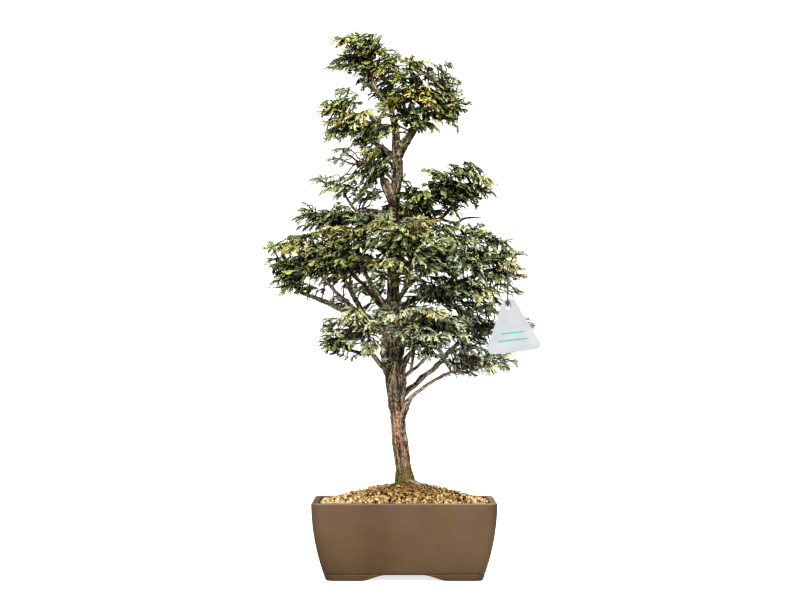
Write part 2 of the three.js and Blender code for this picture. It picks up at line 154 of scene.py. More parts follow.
def coat_with(tree, **sources):
    """Feeds the Principled shader's sockets, and its Normal from a bump of Height."""
    shader = tree.nodes["Principled BSDF"]
    height = sources.pop("Height", None)
    distance = sources.pop("Distance", 0.001)
    if height is not None:
        bump = node(tree, "Bump", {"Height": height, "Strength": 1, "Distance": distance})
        tree.links.new(bump.outputs[0], shader.inputs["Normal"])
    for socket, source in sources.items():
        tree.links.new(source, shader.inputs[socket.replace("_", " ")])


def patches_group():
    """Soft-edged patches: noise of one size, cut off below Low and full above High."""
    tree = bpy.data.node_groups.new("patches", "ShaderNodeTree")
    face = tree.interface
    face.new_socket("Place", in_out="INPUT", socket_type="NodeSocketVector")
    for name, value in (("Scale", 50), ("Detail", 4), ("Low", 0.4), ("High", 0.6)):
        face.new_socket(name, in_out="INPUT", socket_type="NodeSocketFloat").default_value = value
    face.new_socket("Mask", in_out="OUTPUT", socket_type="NodeSocketFloat")
    given = tree.nodes.new("NodeGroupInput").outputs
    noise = {"Vector": given["Place"], "Scale": given["Scale"], "Detail": given["Detail"]}
    field = node(tree, "TexNoise", noise).outputs[0]
    limits = {0: field, 1: given["Low"], 2: given["High"]}
    cut = node(tree, "MapRange", limits, interpolation_type="SMOOTHSTEP").outputs[0]
    tree.links.new(cut, tree.nodes.new("NodeGroupOutput").inputs["Mask"])
    return tree


PATCHES = patches_group()


def patches(tree, place, scale, low, high, detail=4):
    values = {"Place": place, "Scale": scale, "Low": low, "High": high, "Detail": detail}
    made = tree.nodes.new("ShaderNodeGroup")
    made.node_tree = PATCHES
    for key, value in values.items():
        if isinstance(value, bpy.types.NodeSocket):
            tree.links.new(value, made.inputs[key])
        else:
            made.inputs[key].default_value = value
    return made.outputs[0]


def object_place(tree):
    return node(tree, "TexCoord").outputs["Object"]


def smooth_line(points, step):
    """A centripetal Catmull-Rom line through points, about a step apart. Columns after the third,
    such as a radius, are carried along."""
    points = np.asarray(points, float)
    ends = 2 * points[[0, -1]] - points[[1, -2]]
    knots = np.vstack([ends[0], points, ends[1]])
    gaps = np.maximum(np.linalg.norm(np.diff(knots[:, :3], axis=0), axis=1), 1e-6) ** 0.5
    line = []
    for i in range(1, len(knots) - 2):
        p0, p1, p2, p3 = knots[i - 1 : i + 3]
        d0, d1, d2 = gaps[i - 1 : i + 2]
        out = d1 * ((p1 - p0) / d0 - (p2 - p0) / (d0 + d1) + (p2 - p1) / d1)
        into = d1 * ((p2 - p1) / d1 - (p3 - p1) / (d1 + d2) + (p3 - p2) / d2)
        count = max(1, round(np.linalg.norm(p2[:3] - p1[:3]) / step))
        t = (np.arange(count) / count)[:, None]
        bend = (2 * p1 - 2 * p2 + out + into) * t**3 + (3 * p2 - 3 * p1 - 2 * out - into) * t**2
        line.append(bend + out * t + p1)
    return np.vstack([*line, points[-1:]])


def unit(vectors):
    return vectors / np.maximum(np.linalg.norm(vectors, axis=-1, keepdims=True), 1e-12)


def lengths_along(line):
    return np.concatenate([[0], np.cumsum(np.linalg.norm(np.diff(line[:, :3], axis=0), axis=1))])


def rings_round(line, radii, sides):
    """Rings of points round a line, as (ring, side, xyz). radii is one number a ring or a point."""
    line = line[:, :3]
    along = unit(np.gradient(line, axis=0))
    across = np.zeros_like(along)
    aside = np.eye(3)[np.argmin(np.abs(along[0]))]
    across[0] = unit(aside - along[0] * (aside @ along[0]))
    for i in range(1, len(line)):
        moved = across[i - 1] - along[i] * (across[i - 1] @ along[i])
        across[i] = unit(moved)
    upright = np.cross(along, across)
    angle = np.arange(sides) * 2 * math.pi / sides
    spokes = across[:, None] * np.cos(angle)[:, None] + upright[:, None] * np.sin(angle)[:, None]
    radii = np.asarray(radii, float)
    if radii.ndim == 1:
        radii = radii[:, None]
    return line[:, None] + spokes * radii[..., None]


def skin(rings):
    """Points and faces of one closed surface through rings."""
    count, sides = rings.shape[:2]
    at = np.arange(count * sides).reshape(count, sides)
    after = np.roll(at, -1, 1)
    walls = np.stack([at[:-1], after[:-1], after[1:], at[1:]], -1).reshape(-1, 4).tolist()
    return rings.reshape(-1, 3), [*walls, at[0, ::-1].tolist(), at[-1].tolist()]


def joined(parts):
    """Several (points, faces) as one."""
    points, faces, first = [], [], 0
    for part_points, part_faces in parts:
        points.append(part_points)
        faces += [[first + corner for corner in face] for face in part_faces]
        first += len(part_points)
    return np.vstack(points), faces


def rolled_out(rings):
    """The face corners of a skin slit down its side and laid flat, in millimetres. A long one is
    cut into lengths that lie side by side, and its two ends are discs above it."""
    count, sides = rings.shape[:2]
    girth = np.linalg.norm(rings - np.roll(rings, 1, 1), axis=2).sum(1).mean()
    along = lengths_along(rings.mean(1))
    i, j = np.mgrid[: count - 1, :sides]
    column = np.floor(along[:-1] / SHEET_HEIGHT)[i][..., None]
    x = np.stack([j, j + 1, j + 1, j], -1) * girth / sides + column * (girth + SHEET_GAP)
    y = along[np.stack([i, i, i + 1, i + 1], -1)] - column * SHEET_HEIGHT
    walls = np.stack([x, y], -1).reshape(-1, 2)
    turn, radius = np.arange(sides) * 2 * math.pi / sides, girth / 2 / math.pi
    disc = (np.stack([np.cos(turn), np.sin(turn)], -1) + 1) * radius
    above = walls[:, 1].max() + SHEET_GAP
    return np.vstack([walls, disc[::-1] + (0, above), disc + (0, above + 2 * radius)])


def sheets_laid_out(sheets):
    """Lays flat sheets in rows on one square, the tallest first."""
    sizes = np.array([sheet.max(0) for sheet in sheets]) + SHEET_GAP
    width = max(1.05 * math.sqrt(sizes.prod(1).sum()), sizes[:, 0].max())
    x = y = row = 0
    corners = np.zeros((len(sheets), 2))
    for i in np.argsort(-sizes[:, 1], kind="stable"):
        if x + sizes[i, 0] > width:
            x, y, row = 0, y + row, 0
        corners[i] = x, y
        x, row = x + sizes[i, 0], max(row, sizes[i, 1])
    placed = np.vstack([sheet + corner for sheet, corner in zip(sheets, corners)])
    return (placed + SHEET_GAP / 2) / max(width + SHEET_GAP, y + row + SHEET_GAP)


def add_piece(name, shape, material, slot, replaces=(), smooth=True, sharp=None, flat=None,
              **attributes):
    """Makes a mesh object of (points, faces) in millimetres, which rides on the one body. flat
    gives each face corner its place on the picture that the piece's finish may be drawn on."""
    points, faces = shape
    mesh = bpy.data.meshes.new(name)
    mesh.from_pydata((np.asarray(points) * MM).tolist(), [], faces)
    mesh.polygons.foreach_set("use_smooth", [smooth] * len(mesh.polygons))
    if sharp:
        mesh.set_sharp_from_angle(angle=math.radians(sharp))
    for key, values in attributes.items():
        values = np.asarray(values, np.float32)
        domain = "POINT" if len(values) == len(points) else "FACE"
        kind, field = ("FLOAT", "value") if values.ndim == 1 else ("FLOAT_VECTOR", "vector")
        mesh.attributes.new(key, kind, domain).data.foreach_set(field, values.ravel())
    if flat is not None:
        layer = mesh.uv_layers.new(name="OFBake")
        layer.uv.foreach_set("vector", np.asarray(flat, np.float32).ravel())
    mesh.materials.append(material)
    piece = bpy.data.objects.new(name, mesh)
    bpy.context.scene.collection.objects.link(piece)
    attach(piece, "root")
    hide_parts(*replaces)
    return piece


def on_label(x, z, out=0.0):
    """A place on the hanging label from x right of its hole, z above it and out of its face."""
    turned = (x * math.cos(LABEL_TURN) - z * math.sin(LABEL_TURN),
              x * math.sin(LABEL_TURN) + z * math.cos(LABEL_TURN))
    return LABEL_HOLE + np.array([turned[0], -out, turned[1]])


def rounded(corners, radius, steps=5):
    """A flat outline with each corner rounded off by a small arc."""
    corners = np.array(corners, float)
    outline = []
    for i, corner in enumerate(corners):
        before, after = (unit(corners[j % len(corners)] - corner) for j in (i - 1, i + 1))
        for t in np.linspace(0, 1, steps):
            pull = radius * (1 - t) ** 2, radius * t**2
            outline.append(corner + before * pull[0] + after * pull[1])
    return np.array(outline)


def shrunk(outline, by):
    """A convex outline drawn in on every side."""
    middle = (outline.max(0) + outline.min(0)) / 2
    half = (outline.max(0) - outline.min(0)) / 2
    return middle + (outline - middle) * (1 - by / half)


def label_plate():
    outline = rounded(LABEL_CORNERS, LABEL_ROUND)
    angle = np.linspace(0, 2 * math.pi, len(outline), endpoint=False)
    start = math.atan2(outline[0][1], outline[0][0])
    hole = np.stack([np.cos(start + angle), np.sin(start + angle)], -1) * LABEL_HOLE_RADIUS
    half, wall = LABEL_THICKNESS / 2, LABEL_THICKNESS / 2 - LABEL_EDGE
    face, hole_face = shrunk(outline, LABEL_EDGE), hole * (1 + LABEL_EDGE / 2)
    loops = [(hole_face, half), (face, half), (outline, wall), (outline, -wall),
             (face, -half), (hole_face, -half), (hole, -wall), (hole, wall)]
    rings = np.array([[on_label(x, z, out) for x, z in loop] for loop, out in loops])
    count, sides = rings.shape[:2]
    at = np.arange(count * sides).reshape(count, sides)
    after, beyond = np.roll(at, -1, 1), np.roll(at, -1, 0)
    faces = np.stack([at, after, np.roll(beyond, -1, 1), beyond], -1).reshape(-1, 4)
    return rings.reshape(-1, 3), faces.tolist()


def label_print():
    """The printed ruled lines, a film that stands just proud of the plate."""
    faces, points = [], []
    film, rise = LABEL_THICKNESS / 2 + PRINT_PROUD, RULED_HALF_WIDTH
    for height, half in RULED_LINES:
        first = len(points)
        for x, z in ((-half, rise), (-half, -rise), (half, -rise), (half, rise)):
            points.append(on_label(RULED_MIDDLE + x, height + z, film))
        faces.append([first, first + 1, first + 2, first + 3])
    return np.array(points), faces


def twisted_cord(line, radius, sides=12):
    """Rings of two strands laid up together round a line."""
    turn = 2 * math.pi * lengths_along(line)[:, None] / CORD_TWIST
    angle = np.arange(sides) * 2 * math.pi / sides
    lobes = 0.70 + 0.30 * np.abs(np.cos(angle - turn)) ** 0.8
    return rings_round(line, radius * lobes, sides)


def cord_finish():
    material, tree = finish_of("cord_fibre", 0.85, Sheen_Weight=0.3)
    threads = patches(tree, object_place(tree), 1800, 0.35, 0.7, 2)
    colour = mixed(tree, threads, paint(62, 46, 40), paint(128, 98, 84))
    coat_with(tree, Base_Color=colour, Height=threads, Distance=0.0002)
    return material


def label_finish():
    material, tree = finish_of("label_plastic", 0.32, Subsurface_Weight=0.25,
                               Subsurface_Scale=0.003, Specular_IOR_Level=0.5)
    place = object_place(tree)
    faint = patches(tree, place, 60, 0.3, 0.7, 3)
    fine = patches(tree, place, 900, 0.3, 0.7, 2)
    colour = mixed(tree, faint, paint(164, 168, 170), paint(172, 176, 178))
    coat_with(tree, Base_Color=colour, Height=fine, Distance=0.00002)
    return material


def print_finish():
    material, tree = finish_of("label_print", 0.45)
    worn = patches(tree, object_place(tree), 700, 0.25, 0.5, 3)
    coat_with(tree, Base_Color=mixed(tree, worn, paint(84, 186, 180), paint(28, 160, 152)))
    return material


label = add_piece("label_tab", label_plate(), label_finish(), "label_plastic", ["label"], sharp=35)
add_piece("label_lines", label_print(), print_finish(), "label_plastic")

knot_turn = np.linspace(0, 2 * math.pi, 90, endpoint=False)
knot_line = np.stack([
    np.sin(knot_turn) + 2 * np.sin(2 * knot_turn),
    -np.sin(3 * knot_turn) * 0.9,
    np.cos(knot_turn) - 2 * np.cos(2 * knot_turn),
], -1) * KNOT_SIZE + LABEL_HOLE + KNOT_OFFSET
knot_line = np.vstack([knot_line, knot_line[:1]])
cord_material = cord_finish()
knot_rings = twisted_cord(knot_line, KNOT_STRAND)
knot = add_piece("label_knot", skin(knot_rings), cord_material, "cord_fibre",
                 flat=sheets_laid_out([rolled_out(knot_rings)]))
cord_line = smooth_line(np.array(CORD_ROUTE) / MM, 0.3)
cord_rings = twisted_cord(cord_line, CORD_DIAMETER / MM / 2)
cord = add_piece("label_string", skin(cord_rings), cord_material, "cord_fibre", ["label_cord"],
                 flat=sheets_laid_out([rolled_out(cord_rings)]))

# ---------------------------------------------------------------------------------------------
# Pot: unglazed brown stoneware, pressed in a mould and fired. Its sides are near upright at the
# rim and drawn in towards four bracket feet, which an incised line sets off from the wall. The
# floor has two drain holes.

POT_X = 6.7
POT_WIDTH, POT_DEPTH, POT_HEIGHT = 154.4, 112, 65
POT_TAPER = 12  # how far each side comes in from rim to foot
POT_CORNER = 9
POT_WALL = 6
POT_FLOOR_TOP = 12
GAP = 0.3  # between the pot and what lies in it
FOOT_HEIGHT = 5
FOOT_BAND = 11  # width of the band that the feet leave round the underside
FRONT_ARCH, SIDE_ARCH = (37, 15), (23, 10)  # half widths on the table and at the top
DRAIN_RADIUS, DRAIN_OFFSET = 6.5, 36
RIM_ROUND = 1.6
FOOT_ROUND = 0.7
GROOVE_HEIGHT, GROOVE_DEPTH = 5.6, 0.45
GROOVE_HALF_FLOOR, GROOVE_HALF_WIDTH = 0.25, 0.7
FOOT_ROWS = (1.6, 2.9, 4.2)  # heights of the mesh's rows, up the feet, the wall and down inside
WALL_ROWS = (8, 10.5, 13.5, 17, 21, 25, 30, 35, 40, 45, 50, 55, 60)
INNER_ROWS = (58, 50, 35, 20, POT_FLOOR_TOP)
BLUSH_HEIGHTS, RIM_HIGHLIGHT_HEIGHTS = (0.042, 0.06), (0.0636, 0.0648)  # metres, where each fades in


def rounded_ring(width, depth, radius, corner_steps=8, long_steps=46, short_steps=34):
    """Points round a rounded rectangle, always as many, starting at the right-hand side's middle."""
    ring = []
    for corner in range(4):
        middle = (corner + 0.5) * math.pi / 2
        x = np.sign(math.cos(middle)) * (width / 2 - radius)
        y = np.sign(math.sin(middle)) * (depth / 2 - radius)
        turn = (corner + np.linspace(0, 1, corner_steps + 1)) * math.pi / 2
        ring.append(np.stack([x + radius * np.cos(turn), y + radius * np.sin(turn)], -1))
    outline = []
    for corner, arc in enumerate(ring):
        start, end = arc[-1], ring[(corner + 1) % 4][0]
        steps = long_steps if corner % 2 == 0 else short_steps
        side = start + (end - start) * (np.arange(1, steps) / steps)[:, None]
        outline += [arc, side]
    return np.vstack(outline) + (POT_X, 0)


def pot_ring(z, inset):
    """The pot's outline at a height, drawn in as its side is and then by an inset."""
    drawn_in = POT_TAPER * (1 - np.clip(z, 0, POT_HEIGHT) / POT_HEIGHT) ** 2 + inset
    radius = max(POT_CORNER - inset, 2.5)
    return rounded_ring(POT_WIDTH - 2 * drawn_in, POT_DEPTH - 2 * drawn_in, radius)


def arch_height(ring):
    """How high the foot's edge is at each point of an outline: 0 on a foot, full in an arch."""
    x, y = np.abs(ring[:, 0] - POT_X), np.abs(ring[:, 1])
    on_front = y / POT_DEPTH > x / POT_WIDTH
    where = np.where(on_front, x, y)
    reach = np.where(on_front, FRONT_ARCH[0], SIDE_ARCH[0])
    top = np.where(on_front, FRONT_ARCH[1], SIDE_ARCH[1])
    rise = np.clip((reach - where) / (reach - top), 0, 1)
    return FOOT_HEIGHT * rise * rise * (3 - 2 * rise)


def pot_shape():
    foot = arch_height(pot_ring(0, 0))
    rows = []

    def row(height, inset):
        """A row of the outer wall, no lower than the foot's edge under it."""
        ring = pot_ring(height, inset)
        level = np.maximum(height, foot + 0.04 * len(rows))
        rows.append(np.column_stack([ring, level]))

    underside = pot_ring(0, FOOT_BAND)
    middle = pot_ring(0, FOOT_BAND + 8)
    rows.append(np.column_stack([middle, np.full(len(foot), FOOT_HEIGHT)]))
    rows.append(np.column_stack([underside, np.full(len(foot), FOOT_HEIGHT)]))
    rows.append(np.column_stack([underside, np.minimum(foot, FOOT_HEIGHT - 0.02)]))
    for turn in np.linspace(0, math.pi / 2, 4):
        drop = FOOT_ROUND * (1 - math.sin(turn))
        ring = pot_ring(0, drop)
        rows.append(np.column_stack([ring, foot + FOOT_ROUND * (1 - math.cos(turn))]))
    for height in (*FOOT_ROWS, GROOVE_HEIGHT - GROOVE_HALF_WIDTH):
        row(height, 0)
    row(GROOVE_HEIGHT - GROOVE_HALF_FLOOR, GROOVE_DEPTH)
    row(GROOVE_HEIGHT + GROOVE_HALF_FLOOR, GROOVE_DEPTH)
    for height in (GROOVE_HEIGHT + GROOVE_HALF_WIDTH, *WALL_ROWS):
        row(height, 0)
    quarter = np.linspace(0, math.pi / 2, 5)
    for turn in quarter:
        row(POT_HEIGHT - RIM_ROUND * (1 - math.sin(turn)), RIM_ROUND * (1 - math.cos(turn)))
    for turn in quarter[::-1]:
        row(POT_HEIGHT - RIM_ROUND * (1 - math.sin(turn)),
            POT_WALL - RIM_ROUND * (1 - math.cos(turn)))
    for height in INNER_ROWS:
        rows.append(np.column_stack([pot_ring(height, POT_WALL), np.full(len(foot), height)]))
    return skin(np.array(rows))


def clay_finish():
    material, tree = finish_of("pot_clay", 0.6, Specular_IOR_Level=0.35)
    place = object_place(tree)
    broad = patches(tree, place, 16, 0.32, 0.7, 3)
    clouds = patches(tree, place, 38, 0.45, 0.72, 5)
    ash = patches(tree, place, 22, 0.52, 0.78, 4)
    specks = patches(tree, place, 900, 0.62, 0.72, 2)
    fine = patches(tree, place, 1400, 0.2, 0.8, 3)
    hand = patches(tree, place, 70, 0.2, 0.8, 3)
    colour = mixed(tree, broad, paint(94, 75, 53), paint(107, 87, 66))
    colour = mixed(tree, maths(tree, "MULTIPLY", clouds, 0.55), colour, paint(105, 87, 56))
    colour = mixed(tree, maths(tree, "MULTIPLY", ash, 0.5), colour, paint(103, 80, 69))
    height = node(tree, "SeparateXYZ", {0: place}).outputs["Z"]
    near_rim = node(tree, "MapRange", {0: height, 1: BLUSH_HEIGHTS[0], 2: BLUSH_HEIGHTS[1]}).outputs[0]
    flashed = maths(tree, "MULTIPLY", patches(tree, place, 30, 0.4, 0.62, 4), near_rim)
    colour = mixed(tree, maths(tree, "MULTIPLY", flashed, 0.35), colour, paint(106, 84, 76))
    # A painted highlight: the top of the rim is painted lighter.
    rim_highlight = node(tree, "MapRange", {0: height, 1: RIM_HIGHLIGHT_HEIGHTS[0], 2: RIM_HIGHLIGHT_HEIGHTS[1]}).outputs[0]
    colour = mixed(tree, maths(tree, "MULTIPLY", rim_highlight, 0.7), colour, paint(158, 140, 120))
    colour = mixed(tree, maths(tree, "MULTIPLY", specks, 0.35), colour, paint(66, 50, 34))
    # Sharp convex edges are painted lighter: partly wear, partly a painted highlight.
    edge = node(tree, "NewGeometry").outputs["Pointiness"]
    worn = maths(tree, "MULTIPLY_ADD", edge, 9, -4.75, clamp=True)
    colour = mixed(tree, maths(tree, "MULTIPLY", worn, 0.7), colour, paint(146, 121, 90))
    # Hollows and inner corners, such as the incised line, are painted dark: painted shade.
    hollow_shade = maths(tree, "MULTIPLY_ADD", edge, -12, 5.6, clamp=True)
    colour = mixed(tree, maths(tree, "MULTIPLY", hollow_shade, 0.8), colour, paint(48, 30, 20))
    roughness = maths(tree, "MULTIPLY_ADD", fine, 0.18, 0.52)
    marks = maths(tree, "MULTIPLY_ADD", hand, 1.5, fine)
    coat_with(tree, Base_Color=colour, Roughness=roughness, Height=marks, Distance=0.00012)
    return material


def bored(piece, places, radius, low, high):
    """Cuts upright round holes through a piece."""
    drills = []
    for x in places:
        line = np.array([[x, 0, low], [x, 0, high]])
        points, faces = skin(rings_round(line, [radius, radius], 40))
        mesh = bpy.data.meshes.new("drill")
        mesh.from_pydata((points * MM).tolist(), [], faces)
        drill = bpy.data.objects.new("drill", mesh)
        bpy.context.scene.collection.objects.link(drill)
        drills.append(drill)
        cut = piece.modifiers.new("drain", "BOOLEAN")
        cut.object = drill
        cut.operation = "DIFFERENCE"
        cut.solver = "EXACT"
    graph = bpy.context.evaluated_depsgraph_get()
    graph.update()
    cut_mesh = bpy.data.meshes.new_from_object(piece.evaluated_get(graph))
    piece.modifiers.clear()
    piece.data = cut_mesh
    for drill in drills:
        bpy.data.objects.remove(drill)


DRAIN_PLACES = (POT_X - DRAIN_OFFSET, POT_X + DRAIN_OFFSET)
pot = add_piece("pot_body", pot_shape(), clay_finish(), "pot_clay", ["pot"], sharp=50)
bored(pot, DRAIN_PLACES, DRAIN_RADIUS, FOOT_HEIGHT - 3, POT_FLOOR_TOP + 3)

# ---------------------------------------------------------------------------------------------
# Drain screens: squares of black plastic mesh over the two holes. Each is held by a clip of soft
# aluminium wire, pushed through the mesh and bent out flat against the underside of the floor.

SCREEN_SIZE, SCREEN_THICKNESS, SCREEN_PITCH, SCREEN_BAR = 27, 0.8, 2.25, 0.8
SCREEN_BOTTOM = POT_FLOOR_TOP + GAP
SCREEN_SPLIT = 0.55  # share of its thickness that the lower bars take up
CLIP_RADIUS = 0.6
CLIP_REACH, CLIP_LEG = 13, 4  # of its bent ends and its two legs, from the hole's middle
CLIP_BOTTOM = FOOT_HEIGHT - 0.9
CLIP_TOP = SCREEN_BOTTOM + SCREEN_THICKNESS + 0.9


def bar(low, high):
    """A box between two corners."""
    corners = [[(low, high)[i >> axis & 1][axis] for axis in range(3)] for i in range(8)]
    faces = [[0, 2, 3, 1], [4, 5, 7, 6], [0, 1, 5, 4], [2, 6, 7, 3], [0, 4, 6, 2], [1, 3, 7, 5]]
    return np.array(corners, float), faces


def screen_shape(x):
    """Bars both ways, those one way lying a little lower than the others."""
    half, parts = SCREEN_SIZE / 2, []
    for offset in np.arange(-half + SCREEN_BAR / 2, half, SCREEN_PITCH):
        low, high = offset - SCREEN_BAR / 2, offset + SCREEN_BAR / 2
        middle = SCREEN_BOTTOM + SCREEN_THICKNESS * SCREEN_SPLIT
        parts.append(bar((x + low, -half, SCREEN_BOTTOM), (x + high, half, middle + 0.02)))
        parts.append(bar((x - half, low, middle - 0.02),
                         (x + half, high, SCREEN_BOTTOM + SCREEN_THICKNESS)))
    return joined(parts)


def screen_finish():
    material, tree = finish_of("screen_plastic", 0.5)
    dust = patches(tree, object_place(tree), 260, 0.45, 0.7)
    coat_with(tree, Base_Color=mixed(tree, dust, paint(26, 28, 30), paint(84, 76, 64)),
              Height=dust, Distance=0.00005)
    return material


def clip_finish():
    material, tree = finish_of("clip_wire", 0.4, Metallic=0.9)
    dull = patches(tree, object_place(tree), 500, 0.4, 0.65)
    coat_with(tree, Base_Color=mixed(tree, dull, paint(172, 164, 152), paint(120, 110, 98)),
              Roughness=maths(tree, "MULTIPLY_ADD", dull, 0.25, 0.35))
    return material


screen_material, clip_material = screen_finish(), clip_finish()
for side, x in zip(("left", "right"), DRAIN_PLACES):
    add_piece(f"drain_mesh_{side}", screen_shape(x), screen_material, "screen_plastic",
              [f"drain_screen_{side}"], smooth=False)
    half_clip = [(CLIP_REACH, CLIP_BOTTOM), (CLIP_LEG + 1, CLIP_BOTTOM), (CLIP_LEG, CLIP_BOTTOM + 1),
                 (CLIP_LEG, CLIP_TOP - 1), (CLIP_LEG - 1, CLIP_TOP)]
    clip_route = [(x, -y, z) for y, z in half_clip] + [(x, y, z) for y, z in half_clip[::-1]]
    clip_line = smooth_line(clip_route, 0.6)
    clip_radii = np.full(len(clip_line), CLIP_RADIUS)
    add_piece(f"clip_wire_{side}", skin(rings_round(clip_line, clip_radii, 12)), clip_material,
              "clip_wire", [f"screen_clip_{side}"])

# ---------------------------------------------------------------------------------------------
# Soil: baked clay and pumice grit, sieved to a few millimetres, filled in round the roots and
# mounded up to the trunk. Loose grains, paler and coarser towards the rim, lie over a body of
# packed grit painted dark, as painted shade in the gaps between the grains; dry scraps of fallen
# foliage lie among them.

TRUNK_X = 7.7
SOIL_EDGE, SOIL_RISE = 62.5, 16
MOUND_X, MOUND_Y = 74, 54
PACKED_ROWS = (POT_FLOOR_TOP + GAP, 30, 50, 58)  # heights up the wall
PACKED_SHARES = (1, 0.86, 0.7, 0.52, 0.34, 0.16)  # of the pot's width, up the mound
PALE_PATCH, PALE_REACH = -58, 14  # x of the paler grit and how far it goes
DARK_PATCH, DARK_REACH = (16, -30), 16
GRAINS = 4700
GRAIN_RADII = (0.65, 2.2)
SCRAPS = 340
SCRAP_SPREAD, SCRAP_HEAP = (20, 17), (10, -12)  # the heap is right and in front of the trunk
SCRAP_EDGE = 47  # as far as they lie towards the front and back
PACKED_LOW = 1.6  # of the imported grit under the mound's surface
TRUNK_CLEARING = 7.5  # radius without loose grains
SOIL_SEED = 11
ICO = (1 + 5**0.5) / 2
ICO_POINTS = unit(np.array([
    (-1, ICO, 0), (1, ICO, 0), (-1, -ICO, 0), (1, -ICO, 0), (0, -1, ICO), (0, 1, ICO),
    (0, -1, -ICO), (0, 1, -ICO), (ICO, 0, -1), (ICO, 0, 1), (-ICO, 0, -1), (-ICO, 0, 1),
]))
ICO_FACES = np.array([
    (0, 11, 5), (0, 5, 1), (0, 1, 7), (0, 7, 10), (0, 10, 11), (1, 5, 9), (5, 11, 4),
    (11, 10, 2), (10, 7, 6), (7, 1, 8), (3, 9, 4), (3, 4, 2), (3, 2, 6), (3, 6, 8), (3, 8, 9),
    (4, 9, 5), (2, 4, 11), (6, 2, 10), (8, 6, 7), (9, 8, 1),
])


def mound_height(x, y):
    reach = np.minimum(1, np.hypot((x - TRUNK_X) / MOUND_X, y / MOUND_Y))
    return SOIL_EDGE + SOIL_RISE * (1 - reach**1.5)


def random_turns(rng, count):
    """Rotation matrices, from random quaternions."""
    w, x, y, z = unit(rng.normal(size=(count, 4))).T
    return np.stack([
        1 - 2 * (y * y + z * z), 2 * (x * y - w * z), 2 * (x * z + w * y),
        2 * (x * y + w * z), 1 - 2 * (x * x + z * z), 2 * (y * z - w * x),
        2 * (x * z - w * y), 2 * (y * z + w * x), 1 - 2 * (x * x + y * y),
    ], -1).reshape(-1, 3, 3)


def packed_soil():
    rings = []
    for z in PACKED_ROWS:
        ring = pot_ring(z, POT_WALL + GAP)
        rings.append(np.column_stack([ring, np.full(len(ring), z)]))
    for share in PACKED_SHARES:
        width, depth = (size - 2 * (POT_WALL + GAP) for size in (POT_WIDTH, POT_DEPTH))
        radius = (2 + depth * share / 2) * (1 - share) + 3 * share
        ring = rounded_ring(width * share, depth * share, radius)
        rings.append(np.column_stack([ring, mound_height(*ring.T) - PACKED_LOW]))
    return skin(np.array(rings))


def grain_places(rng, count):
    """Places over the mound inside the rim, clear of the trunk's foot."""
    half_x, half_y = POT_WIDTH / 2 - POT_WALL - 1.2, POT_DEPTH / 2 - POT_WALL - 1.2
    found = rng.uniform((-half_x, -half_y), (half_x, half_y), (count * 2, 2))
    beyond = np.maximum(np.abs(found) - (half_x - 3, half_y - 3), 0)
    found = found[np.hypot(*beyond.T) < 3] + (POT_X, 0)
    return found[np.hypot(found[:, 0] - TRUNK_X, found[:, 1]) > TRUNK_CLEARING][:count]


def loose_grains(rng):
    """Angular grains with a shade each, from 0 for dark brown to 1 for cream."""
    place = grain_places(rng, GRAINS)
    x, y = place.T
    out = np.hypot((x - TRUNK_X) / MOUND_X, y / MOUND_Y)
    size = rng.gamma(9, 0.145, len(place)) * (0.8 + 0.45 * out)
    size = np.clip(size, *GRAIN_RADII)
    knocks = rng.normal(1, 0.15, (len(place), 12, 1))
    flat = rng.uniform(0.55, 1, (len(place), 1, 3))
    local = ICO_POINTS * knocks * flat * size[:, None, None]
    local = np.einsum("nij,nvj->nvi", random_turns(rng, len(place)), local)
    z = mound_height(x, y) - 0.9 + rng.uniform(-0.5, 0.9, len(place)) - (size - 1.4) * 0.25
    centre = np.column_stack([x, y, z])
    points = (local + centre[:, None]).reshape(-1, 3)
    faces = (ICO_FACES + 12 * np.arange(len(place))[:, None, None]).reshape(-1, 3)
    patch = 0.2 * np.exp(-(((x - PALE_PATCH) / PALE_REACH) ** 2))
    pale = 0.42 + 0.34 * out + patch + rng.normal(0, 0.31, len(x))
    away = np.hypot(x - DARK_PATCH[0], y - DARK_PATCH[1])
    dark = np.exp(-((away / DARK_REACH) ** 2))
    shade = np.clip(pale - 0.28 * dark * rng.random(len(x)), 0, 1)
    return (points, faces.tolist()), np.repeat(shade, 12)


def dry_scraps(rng):
    """Slivers of fallen foliage and bark on the grit, half of them heaped right of the trunk."""
    reach = rng.normal(0, 1, (SCRAPS, 2)) * SCRAP_SPREAD - (0, 8)
    reach[::2] = reach[::2] * (0.4, 0.5) + SCRAP_HEAP
    x, y = TRUNK_X + reach[:, 0], np.clip(reach[:, 1], -SCRAP_EDGE, SCRAP_EDGE)
    parts = []
    for px, py in zip(x, y):
        long, turn, rise = rng.uniform(2, 6), rng.uniform(0, 6.28), rng.uniform(-0.2, 0.35)
        way = np.array([math.cos(turn), math.sin(turn), rise]) * long / 2
        middle = np.array([px, py, mound_height(px, py) + rng.uniform(0.3, 1.3)])
        lift = np.array([0, 0, rng.uniform(0.1, 0.8)])
        line = np.array([middle - way, middle + lift, middle + way])
        parts.append(skin(rings_round(line, [0.12, rng.uniform(0.25, 0.5), 0.1], 4)))
    return joined(parts)


def bits_laid_out(points, faces, bits):
    """Face corners of many small bits laid flat, each bit in a square of its own."""
    place = np.asarray(points) @ [(1, 0), (0.4, 0.6), (0, 1)]
    middle = np.stack([np.bincount(bits, axis) for axis in place.T], -1)
    place = place - (middle / np.bincount(bits)[:, None])[bits]
    reach = np.zeros(bits[-1] + 1)
    np.maximum.at(reach, bits, np.abs(place).max(1))
    across = math.ceil(math.sqrt(len(reach)))
    square = np.stack([bits % across, bits // across], -1) + 0.5
    spot = (square + 0.35 * place / reach[bits][:, None]) / across
    return spot[np.concatenate(faces)]


